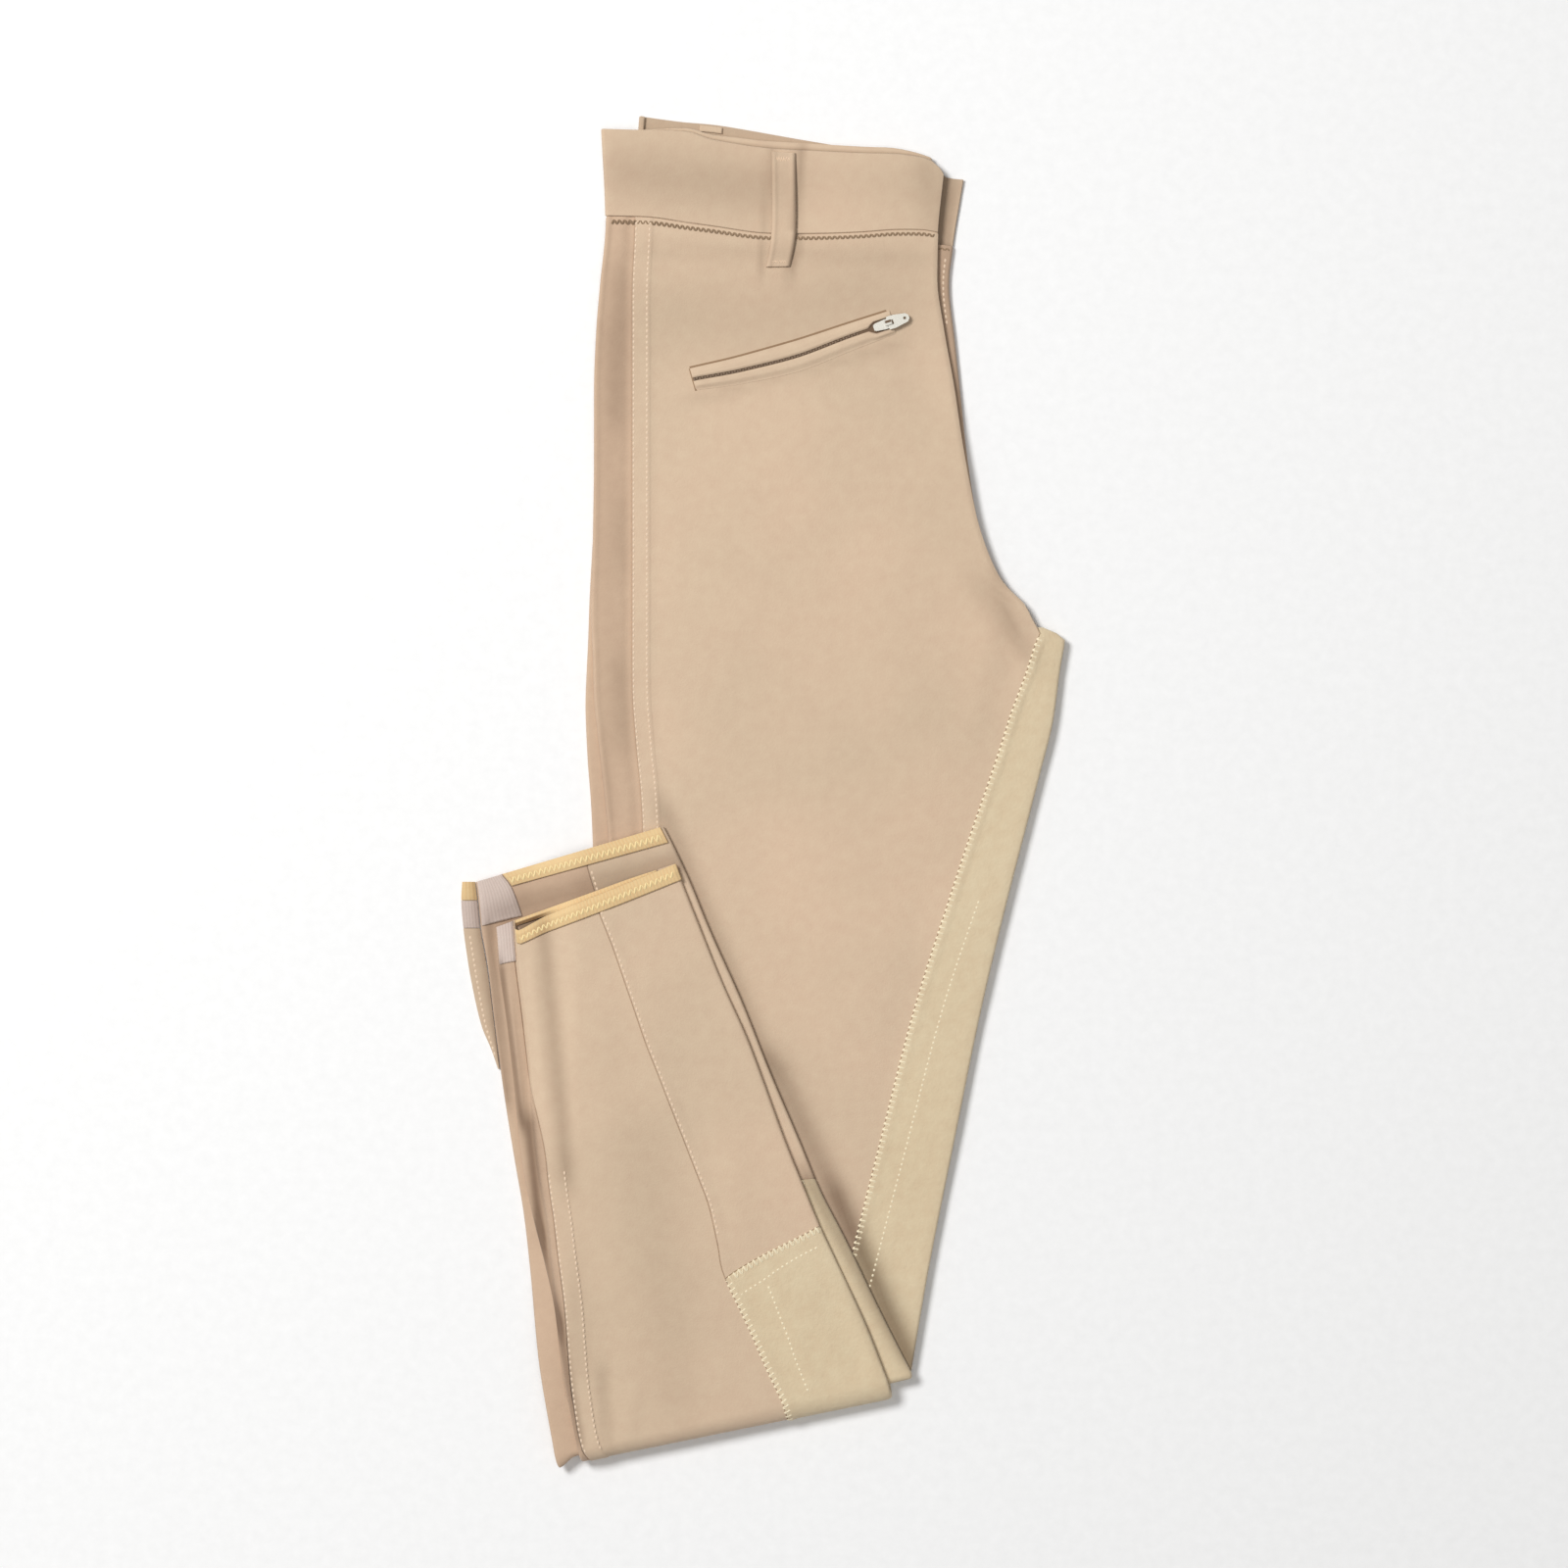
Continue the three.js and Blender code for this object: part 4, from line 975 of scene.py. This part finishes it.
def farBackLine(s):
    side = farSide(s) - seamGap / 2
    opened = clamp01(s - foldEnd)
    shortLip = edge + lip * (1 - opened) ** 2
    curled = inside(joined(spread(side, edge, 8), spread(edge, edge - roll, 8),
                           [onUnder(a) for a in spread(edge, shortLip, 8)]))
    points = girthPoints(far, s, curled)
    if opened == 0:
        return points
    found = []
    flat = inside(spread(side, 0.1, len(curled) - 3))
    for (across, depth, sideways, front), a in zip(points, flat):
        start = ledgeAt(s)["from"]
        down = 1 - ease((a - start + ledge["run"]) / ledge["run"])
        bulge = 0.6 * math.sin(math.pi * clamp01(a / max(start - ledge["run"], 1)))
        bulge *= clamp01((start - 3) / 4)
        found.append((mix(across, a, opened), mix(depth, far.depth + bend - ledge["drop"] * down, opened),
                      mix(sideways, 0, opened), mix(front, 1, opened), bulge * opened))
    return found


clothPiece("back_panel_far", far,
           ends(thighStations + foldStations + shinStations(far, hemFar)), farBackLine,
           shadedBackCloth)
print("far leg ready")

# The hidden layers: three cloths, one on another, each ending at its own line.
core = {"right": edge + lip + 1, "end": 31.3, "apart": 0.12, "back": [0.0, 0.9, 0.3],
        "round": [0.4, 0.8, 1.0], "dark": 0.7, "darkFrom": 29.8}


def coreLeft(s):
    return insetAt(s)["left"] if s < foldEnd else max(ledgeAt(s)["from"] + 1.2, 10.6)


def coreGrids(layer):
    stations = ends(walk(far, 1.25, foldStart, 7) + foldStations[::2] + [foldEnd + 0.001]
                    + walk(far, foldEnd, core["end"], 7)[1:])
    upper, lower = [], []
    for i, s in enumerate(stations):
        back = core["back"][layer]
        left, right = coreLeft(s) + back, far.width(s) - core["right"] - back
        girths = inside(joined([left, left + 1], spread(left + 1, right - 1, 36), [right - 1, right]))
        low = hairpin + seam + (legDepth if s > foldEnd else wall)
        high = foldHeight - wall - seam
        size = (high - low) / 3
        middle = low + size * (layer + 0.5)
        top, bottom = [], []
        # Towards the hem the hidden layers are darker: painted shade inside the hem's opening.
        shade = core["dark"] * ease((s - core["darkFrom"]) / 0.7)
        for j, across in enumerate(girths):
            ring = min(i, len(stations) - 1 - i, j, len(girths) - 1 - j, 2)
            half = (size - core["apart"]) / 2 * core["round"][ring]
            top.append(place(far, s, across, middle + half, shade))
            bottom.append(place(far, s, across, middle - half, shade))
        upper.append(top)
        lower.append(bottom)
    return upper, lower


coreLayers = []
for layer in range(3):
    coreUpper, coreLower = coreGrids(layer)
    coreLayers.append(shellMesh(f"inner_layer_{layer}", coreUpper, coreLower))
bpy.ops.object.select_all(action="DESELECT")
for piece in coreLayers:
    piece.select_set(True)
bpy.context.view_layer.objects.active = coreLayers[0]
bpy.ops.object.join()
innerLayers = bpy.context.view_layer.objects.active
innerLayers.name = "inner_layers_cloth"
dressed(innerLayers, breechCloth)
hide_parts("inner_layers")
print("inner layers ready")

tape = {"inner": wall / 2 + seam, "outer": wall / 2 + seam + 1.0}
hem = {"backLeft": 3.6, "tapeStart": 30.69, "tapeEnd": 31.0, "nearTape": 30.06, "knitSlant": 4.2}


def farTapeLine(s):
    start = ledgeAt(s)["from"] - 1.0
    right = far.width(s) - edge
    return girthPoints(far, s, inside(joined(spread(start, right, 40), spread(right, right + bend, 3)), 0.3))


def farHemBackLine(s):
    return [(a, far.depth - bend, 0, 1) for a in inside(spread(
        hem["backLeft"], far.width(s) - core["right"], 44))]


def knitEdge(s):
    return cloth["knitWidth"] + hem["knitSlant"] * (hemNear - s)  # its seam slants away from the hem


def nearTapeLine(s):
    return girthPoints(near, s, [onUnder(a) for a in inside(spread(
        knitEdge(s) + 0.3, near.width(s) - edge, 40), 0.3)])


def puffed(points, high=0.5):
    # The knit lies puffed between its seams.
    last = len(points) - 1
    return [(*p, high * math.sin(math.pi * k / last) - 0.7 * (1 - ease(min(k, last - k) / 2.5)))
            for k, p in enumerate(points)]


def nearKnitLine(s):
    return puffed(girthPoints(near, s, [onUnder(a) for a in inside(spread(1.2, knitEdge(s), 14), 0.3)]))


def farKnitLine(s):
    return puffed([(around(far, s, a)[0], far.depth - bend, 0, 1) for a in inside(spread(
        0.6, ledgeAt(s)["from"] - ledge["run"] + 0.5, 12), 0.3)])


def tapeStart(shift):
    return lambda f: mix(hem["tapeStart"], hem["tapeEnd"], f) + shift


def tapeRow(part):
    return lambda f: mix(tapeStart(0)(f), hemFar, part)


# The tape is darker from its start to its stitched row: painted shade.
clothPiece("hem_tape_far", far,
           [tapeStart(0), tapeStart(0.03), *[tapeRow(k / 7) for k in range(1, 7)], tapeRow(0.975),
            tapeRow(1)],
           farTapeLine, hemTape, **tape,
           dark=lambda s, across: 0.16 * (1 - ease((s - 31.35) / 0.3)))
# The lower layer is dark at its left where the hem opens: painted shade inside the opening.
clothPiece("hem_back_far", far, ends(spread(core["end"] + 0.06, hemFar, 8)),
           farHemBackLine, hemTape,
           dark=lambda s, across: 0.85 * (1 - ease((s - 31.64) / 0.12)) * (1 - ease((across - 20) / 18)))
# The tape is darker from its start to its stitched row: painted shade.
clothPiece("hem_tape_near", near, ends(spread(hem["nearTape"], hemNear, 7)),
           nearTapeLine, hemTape, **tape,
           dark=lambda s, across: 0.16 * (1 - ease((s - 30.45) / 0.3)))
clothPiece("cuff_knit_near", near, ends(spread(29, hemNear, 12)),
           nearKnitLine, cuffKnit, **tape)
clothPiece("cuff_knit_far", far, ends(spread(30, hemFar, 12)),
           farKnitLine, cuffKnit, **tape)

# The near shin's split hem beside its left edge: y, outer and inner x.
flapAt = smoothTable(["outerX", "innerX"], [
    [-148, -140.9, -140.2], [-137, -144.6, -141.6], [-124.5, -149.8, -143.2],
    [-99.6, -155.5, -146.3], [-87, -157.6, -148.2], [-72, -159.6, -150.9],
    [-57.2, -160.7, -152.3], [-47.6, -160.2, -153.5]])


def flapPiece(node, start, end, steps, thick, finish):
    upper, lower = [], []
    ys = spread(start, end, steps)
    for i, y in enumerate(ys):
        row = flapAt(y)
        top, bottom = [], []
        for f in spread(0, 1, 8):
            x = mix(row["outerX"], row["innerX"] + 0.1, f)
            edgeShare = min(1, 0.45 + 2.2 * min(f, 1 - f) + 0.2)
            if i in (0, steps):
                edgeShare *= 0.8
            top.append((x + cloth["originX"], y + cloth["originY"], thick * edgeShare))
            bottom.append((x + cloth["originX"], y + cloth["originY"], 0.0))
            # Darker towards its inner side: painted shade.
            shadeByPoint[top[-1]] = 0.12 + 0.25 * ease((f - 0.3) / 0.7)
        upper.append(top)
        lower.append(bottom)
    declareCloth(shellMesh(f"{node}_cloth", upper, lower), [node], upper, finish)


flapPiece("ankle_flap", -147, -72 - seam, 24, 1.6, breechCloth)
flapPiece("cuff_knit_flap", -72, -57.3 - seam, 8, 1.6, cuffKnit)
flapPiece("hem_tape_flap", -57.3, -47.6, 6, 1.9, hemTape)
print("hems ready")

# Zip pocket on the near thigh
zipAt = smoothTable(["sag", "above", "below"], [
    [0, 0, 6, 6], [0.25, -2.6, 7.2, 7.2], [0.5, -3.6, 8, 8], [0.8, -1, 6.6, 7.4], [1, 0, 6.3, 6.3]])
zipPocket = {"x": -37.4, "y": 219.2, "runX": 106.0, "runY": 30.4, "gap": 0.85, "sliderGap": 3.1,
             "high": 1.5}
zipLength = math.hypot(zipPocket["runX"], zipPocket["runY"])


def onZip(along, up, high):
    x = zipPocket["x"] + zipPocket["runX"] * along - zipPocket["runY"] / zipLength * up
    y = (zipPocket["y"] + zipPocket["runY"] * along + zipAt(along)["sag"]
         + zipPocket["runX"] / zipLength * up)
    top = (foldHeight - hairpin) * (1 + softRise(x, y) / foldHeight) + creaseHeight("thigh", x, y)
    return (x + cloth["originX"], y + cloth["originY"], top + high)


def zipOpening(along):
    return mix(zipPocket["gap"], zipPocket["sliderGap"], clamp01((along - 0.882) / 0.025))


def weltPiece(node, way):
    upper, lower = [], []
    for along in joined([0, 0.006], spread(0.006, 0.994, 60), [0.994, 1]):
        start = zipOpening(along)
        width = zipAt(along)["above" if way > 0 else "below"] - start
        tip = ease(min(along, 1 - along) / 0.02) * 0.35 + 0.65
        top, bottom = [], []
        for f in spread(0, 1, 14):
            rolled = ease(f / 0.14) * 0.45 + 0.55
            slope = mix(1, 0.5 if way > 0 else 0.12, ease((f - 0.45) / 0.55))
            top.append(onZip(along, way * (start + f * width), zipPocket["high"] * rolled * slope * tip))
            bottom.append(onZip(along, way * (start + f * width), 0.05))
        upper.append(top)
        lower.append(bottom)
    declareCloth(shellMesh(f"{node}_cloth", upper, lower), [node], upper, breechCloth)


weltPiece("pocket_welt_upper", 1)
weltPiece("pocket_welt_lower", -1)


def ribbonPiece(name, centre, wide, high, finish):
    # A narrow raised line along points and normals.
    upper, lower = [], []
    for k, (p, up) in enumerate(centre):
        q = centre[min(k + 1, len(centre) - 1)][0] - centre[max(k - 1, 0)][0]
        side = q.cross(up).normalized()
        tip = 0.3 if k in (0, len(centre) - 1) else 1
        shares = (-1, -0.5, 0, 0.5, 1)
        upper.append([p + side * wide / 2 * t + up * high * (1 - t * t * 0.8) * tip for t in shares])
        lower.append([p + side * wide / 2 * t - up * 0.1 for t in shares])
    return dressed(shellMesh(name, upper, lower), finish)


# The window's pressed-in edge round the upper welt and down the left end, a dark brown strip: painted shade
# in the recess.
upright = Vector((0, 0, 1))
windowLine = [(Vector(onZip(0.0, u, 0.1)), upright)
              for u in spread(-zipAt(0)["below"] - 0.2, zipAt(0)["above"], 8)]
windowTop = [(Vector(onZip(a, zipAt(a)["above"] + 0.35, 0.1)), upright) for a in spread(0, 0.985, 60)]
ribbonPiece("pocket_window_top", windowTop, 1.5, 0.25, pocketEdgeShade)
ribbonPiece("pocket_window_end", windowLine, 1.1, 0.3, pocketEdgeShade)


def boxAlong(verts, faces, centre, across, along, up, size):
    start = len(verts)
    for sz in (-1, 1):
        for sy in (-1, 1):
            for sx in (-1, 1):
                verts.append(centre + across * (sx * size[0] / 2) + along * (sy * size[1] / 2)
                             + up * (sz * size[2] / 2))
    faces += [tuple(start + k for k in f) for f in (
        (0, 2, 3, 1), (4, 5, 7, 6), (0, 1, 5, 4), (2, 6, 7, 3), (0, 4, 6, 2), (1, 3, 7, 5))]


teeth = {"pitch": 1.5, "reach": 0.28, "size": (1.25, 0.85, 0.7)}
toothVerts, toothFaces = [], []
toothCount = int(zipLength * 0.84 / teeth["pitch"])
for k in range(toothCount):
    along = (k + 0.5) * teeth["pitch"] / zipLength
    way = 1 if k % 2 else -1
    here = Vector(onZip(along, way * teeth["reach"], 0.62))
    ahead = (Vector(onZip(along + 0.01, way * teeth["reach"], 0.62)) - here).normalized()
    boxAlong(toothVerts, toothFaces, here, ahead.cross(upright).normalized(), ahead, upright,
             teeth["size"])
zipTeeth = detailPiece("zip_teeth", toothVerts, toothFaces, zipCoil)
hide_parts("zip_chain")

zipUpper, zipLower = [[[onZip(a, u, high) for u in spread(-zipOpening(a) - 1, zipOpening(a) + 1, 6)]
                       for a in spread(0.004, 0.996, 50)] for high in (0.28, 0.06)]
zipTapePiece = shellMesh("zip_tape", zipUpper, zipLower)
declareCloth(zipTapePiece, [], zipUpper, zipTape)
for name in ("zip_slider", "zip_pull"):
    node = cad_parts[name]
    node.data.materials.clear()
    node.data.materials.append(zipMetal)

# A dark plate on the slider's top: painted shade in its slot.
sliderSlot = {"x": 66.3, "y": 249.0, "lift": 0.02, "size": (1.3, 3.2, 0.1)}
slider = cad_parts["zip_slider"]
sliderTop = max((slider.matrix_world @ v.co).z for v in slider.data.vertices) * 1000
slotVerts, slotFaces = [], []
zipAlong = Vector((zipPocket["runX"], zipPocket["runY"], 0)).normalized()
boxAlong(slotVerts, slotFaces, Vector((sliderSlot["x"], sliderSlot["y"], sliderTop + sliderSlot["lift"])),
         zipAlong.cross(upright), zipAlong, upright, sliderSlot["size"])
detailPiece("slider_slot_shade", slotVerts, slotFaces, sliderSlotShade)
print("zip pocket ready")


def surfacePoint(leg, s, girth, lift=0.0):
    across, depth, side, front = around(leg, s, girth)
    off = wall / 2 + lift
    a = Vector(place(leg, s, across + side * off, depth + front * off))
    b = Vector(place(leg, s, across + side * (off + 1), depth + front * (off + 1)))
    return a, (b - a).normalized()


def seamLine(leg, start, end, girthAt, liftAt=lambda s: 0.0, step=2.0):
    return [surfacePoint(leg, s, girthAt(s), liftAt(s)) for s in walk(leg, start, end, step)]


def evenly(path, gap):
    # Places at equal distances along a path, each a step and a share of it.
    found, left = [(0, 0.0)], gap
    for k, ((a, _), (b, _)) in enumerate(zip(path, path[1:])):
        span = (b - a).length
        at = left
        while at <= span:
            found.append((k, at / span))
            at += gap
        left = at - span
    return found


def pointAt(path, mark):
    k, t = mark
    (a, na), (b, nb) = path[k], path[k + 1]
    return a.lerp(b, t), na.lerp(nb, t).normalized()


def addStitch(verts, faces, a, b, up, thread):
    start = len(verts)
    along = b - a
    side = along.cross(up).normalized() * thread["wide"] / 2
    rise, sink = up * thread["high"], up * -0.15
    verts.append(a + sink)
    for t in (0.22, 0.78):
        middle = a.lerp(b, t)
        verts.extend([middle + side, middle + rise, middle - side, middle + sink])
    verts.append(b + sink)
    s = start
    for k in range(4):
        n = (k + 1) % 4
        faces.append((s, s + 1 + n, s + 1 + k))
        faces.append((s + 1 + k, s + 1 + n, s + 5 + n, s + 5 + k))
        faces.append((s + 9, s + 5 + k, s + 5 + n))


def stitchPiece(name, runs, thread, finish):
    verts, faces = [], []
    for path in runs:
        if thread.get("back"):
            # A zigzag runs between two lines.
            left, right = path
            middle = [((a + b) / 2, up) for (a, up), (b, _) in zip(left, right)]
            holes = [pointAt(left if k % 2 else right, mark)
                     for k, mark in enumerate(evenly(middle, thread["pitch"] / 2))]
            for k, ((a, up), (b, _)) in enumerate(zip(holes, holes[1:])):
                thin = 1 if k % 2 else thread["back"]
                addStitch(verts, faces, a, b, up, {"wide": thread["wide"] * thin,
                                                   "high": thread["high"] * thin})
        else:
            points = [pointAt(path, mark) for mark in evenly(path, thread["pitch"])]
            for (a, up), (b, _) in zip(points, points[1:]):
                addStitch(verts, faces, a, a.lerp(b, thread["fill"]), up, thread)
    detailPiece(name, verts, faces, finish, smooth=60)
    print(f"{name}: {len(faces)} faces")


topStitch = {"pitch": 3.0, "fill": 0.74, "wide": 1.05, "high": 0.42}
dotStitch = {"pitch": 2.9, "fill": 0.58, "wide": 1.05, "high": 0.4}
zigStitch = {"pitch": 3.1, "wide": 1.25, "high": 0.45, "back": 0.4}
hemStitch = {"pitch": 3.0, "wide": 1.3, "high": 0.5, "back": 0.5}
coverStitch = {"pitch": 2.8, "wide": 0.95, "high": 0.35, "back": 0.9}
barStitch = {"pitch": 1.3, "wide": 0.6, "high": 0.3, "back": 1.0}
zigWide = 4.2


def innerSeam(leg):
    return lambda s: leg.width(s) - leg.row(s)["inner"]


def offSeam(seamAt, off):
    return lambda s: seamAt(s) + off


def zigLines(leg, start, end, seamAt):
    # The two sides of a zigzag over a patch's edge, each on its own height.
    return [seamLine(leg, start, end, offSeam(seamAt, off),
                     lambda s: innerLift(leg, s, seamAt(s) + off, True) + 0.05)
            for off in (-1.1, zigWide - 1.1)]


def acrossLines(leg, s, start, end, lift, wide):
    # The two sides of a zigzag across a leg; s is a station or gives one for a share of the way.
    steps = max(2, int(abs(end - start) / 2))
    at = s if callable(s) else lambda f: s
    perStation = math.dist(place(leg, at(0.5) - 0.3, 40, leg.depth),
                           place(leg, at(0.5), 40, leg.depth)) / 0.3
    return [[surfacePoint(leg, at(k / steps) + way * wide / 2 / perStation, mix(start, end, k / steps), lift)
             for k in range(steps + 1)] for way in (-1, 1)]


def lineThrough(leg, points, lift):
    # A row of stitches through a few stations and girths.
    found = []
    for (s0, g0), (s1, g1) in zip(points, points[1:]):
        steps = 14
        found += [surfacePoint(leg, mix(s0, s1, k / steps), mix(g0, g1, k / steps), lift)
                  for k in range(steps + (1 if (s1, g1) == points[-1] else 0))]
    return found


def shifted(line, dx, dy, rise=0.0):
    return [(p + Vector((dx, dy, rise)), up) for p, up in line]


nearSeam, farSeam = innerSeam(near), innerSeam(far)
sideRows = [seamLine(near, 1.06, foldStart, lambda s, o=off: near.row(s)["side"] + o,
                     lambda s: lap["high"]) for off in (0.9, 8.0)]
sideRows += [seamLine(far, 20.9, 25.9, lambda s, o=off: farSide(s) + o,
                      lambda s: lap["high"]) for off in (0.9, 9.2)]
sideRows.append(seamLine(far, 24.15, 30.95, offSeam(farSeam, 1.3), lambda s: innerEdge["high"]))
sideRows.append(seamLine(near, 28.4, 29.95, lambda s: onUnderRight(
    near, s, between(backSeamRows, s) - 1.4)))
stitchPiece("side_and_shin_stitches", sideRows, topStitch, beigeThread)

suedeTop = innerEdge["suede"] + 0.1
patchRight = far.width(23.9) - edge - 0.5
slantRow = [(fold["patchEndFar"] - 0.055 + t, mix(farSeam(23), patchRight, t) + 0.6)
            for t in (0, 0.25, 0.5, 0.75, 1)]
slantZig = lineThrough(far, slantRow, innerEdge["suede"] + 0.1)
endZig = lineThrough(near, [(fold["patchEndNear"] - 0.05, onUnderRight(near, 24.15, a))
                            for a in (6, 18, 24)], 0.3)
patchZig = [
    zigLines(near, crotch + 0.7, foldStart, nearSeam),
    zigLines(far, 20.4, 22.98, farSeam),
    (shifted(slantZig, -0.6, 2.0), shifted(slantZig, 0.6, -2.0)),
    (shifted(endZig, 0, 1.4), shifted(endZig, 0, -1.4)),
]
stitchPiece("patch_zigzag", patchZig, zigStitch, creamThread)
patchRows = [
    seamLine(near, 15.0, foldStart, lambda s: nearSeam(s) + mix(16.5, 14.0, clamp01((s - 15) / 4)),
             lambda s: suedeTop - 0.1),
    lineThrough(far, [(21.1, farSeam(21.1) + 15.0), (22.05, farSeam(22.05) + 17.5),
                      (22.86, farSeam(22.86) + 19.5)], innerEdge["suede"]),
    lineThrough(far, [(22.7, farSeam(22.7) + 3.5), (22.86, farSeam(22.86) + 19.5),
                      (23.42, patchRight)], innerEdge["suede"]),
]
stitchPiece("patch_rows", patchRows, dotStitch, creamThread)

waistCover = [acrossLines(near, 1.075, 3, near.width(1) - 2, 0.45, 2.8),
              acrossLines(far, 1.09, onUnderRight(far, 1.09, edge), onUnderRight(far, 1.09, edge + 7),
                          0.1, 2.4)]
stitchPiece("waist_cover_stitches", waistCover, coverStitch, brownThread)

hemRows = [acrossLines(far, lambda f: mix(31.05, 31.4, f), ledgeAt(31.2)["from"] + 1.0,
                       far.width(31.4) - edge, seam + 1.0, zigWide),
           acrossLines(near, 30.42, onUnder(cloth["knitWidth"] + 3.5), onUnder(near.width(30.4) - edge - 1),
                       seam + 1.0, zigWide)]
stitchPiece("hem_zigzag", hemRows, hemStitch, goldThread)

loopLeft = mix(loop["top"], loop["bottom"], 0.1)
bars = [acrossLines(near, 0.12, loopLeft + 1.2, loopLeft + loop["wide"] - 1.2,
                    loopBase(0.12) - wall / 2 + loop["thick"], 2.0),
        acrossLines(near, 1.5, loop["bottom"] + 1.4, loop["bottom"] + loop["wide"] - 1.2,
                    loopBase(1.5) - wall / 2 + loop["thick"], 2.0)]
stitchPiece("loop_bar_tacks", bars, barStitch, beigeThread)

flyRow = seamLine(far, 1.3, 2.8, lambda s: onUnderRight(far, s, 3.2))
flapRow = [(Vector((mix(flapAt(y)["outerX"], flapAt(y)["innerX"], 0.35) + cloth["originX"],
                    y + cloth["originY"], 1.6)), upright) for y in spread(-140, -74, 40)]
stitchPiece("fly_and_flap_stitches", [flyRow, flapRow], topStitch, beigeThread)
print("stitching ready")

# Daylight from the upper left over a pale floor, and a camera straight above.
bpy.ops.mesh.primitive_plane_add(size=6, location=(0, 0, -0.0005))
floor = bpy.context.active_object
floor.name = "floor"
floor.data.materials.append(makePlain("paleFloor", (0.94, 0.94, 0.94), 0.9))


def areaLight(name, position, size, energy):
    light = bpy.data.lights.new(name, "AREA")
    light.shape = "DISK"
    light.size, light.energy = size, energy
    lamp = bpy.data.objects.new(name, light)
    bpy.context.collection.objects.link(lamp)
    lamp.location = position
    lamp.rotation_euler = (-Vector(position)).to_track_quat("-Z", "Y").to_euler()


areaLight("key", (-1.75, 1.25, 3.05), 1.3, 113)
areaLight("overhead", (0.2, -0.6, 4.4), 2.2, 34)
world = bpy.data.worlds.new("softSky")
world.use_nodes = True
sky = world.node_tree.nodes["Background"]
sky.inputs["Color"].default_value = (1, 0.99, 0.97, 1)
sky.inputs["Strength"].default_value = 0.26
bpy.context.scene.world = world
bpy.context.scene.view_settings.view_transform = "Standard"

view = {"lens": 129.8, "sensor": 36, "position": (0.0112, 0.0038, 3.008)}
cameraData = bpy.data.cameras.new("camera")
cameraData.lens, cameraData.sensor_width = view["lens"], view["sensor"]
camera = bpy.data.objects.new("camera", cameraData)
bpy.context.collection.objects.link(camera)
camera.location = view["position"]
bpy.context.scene.camera = camera
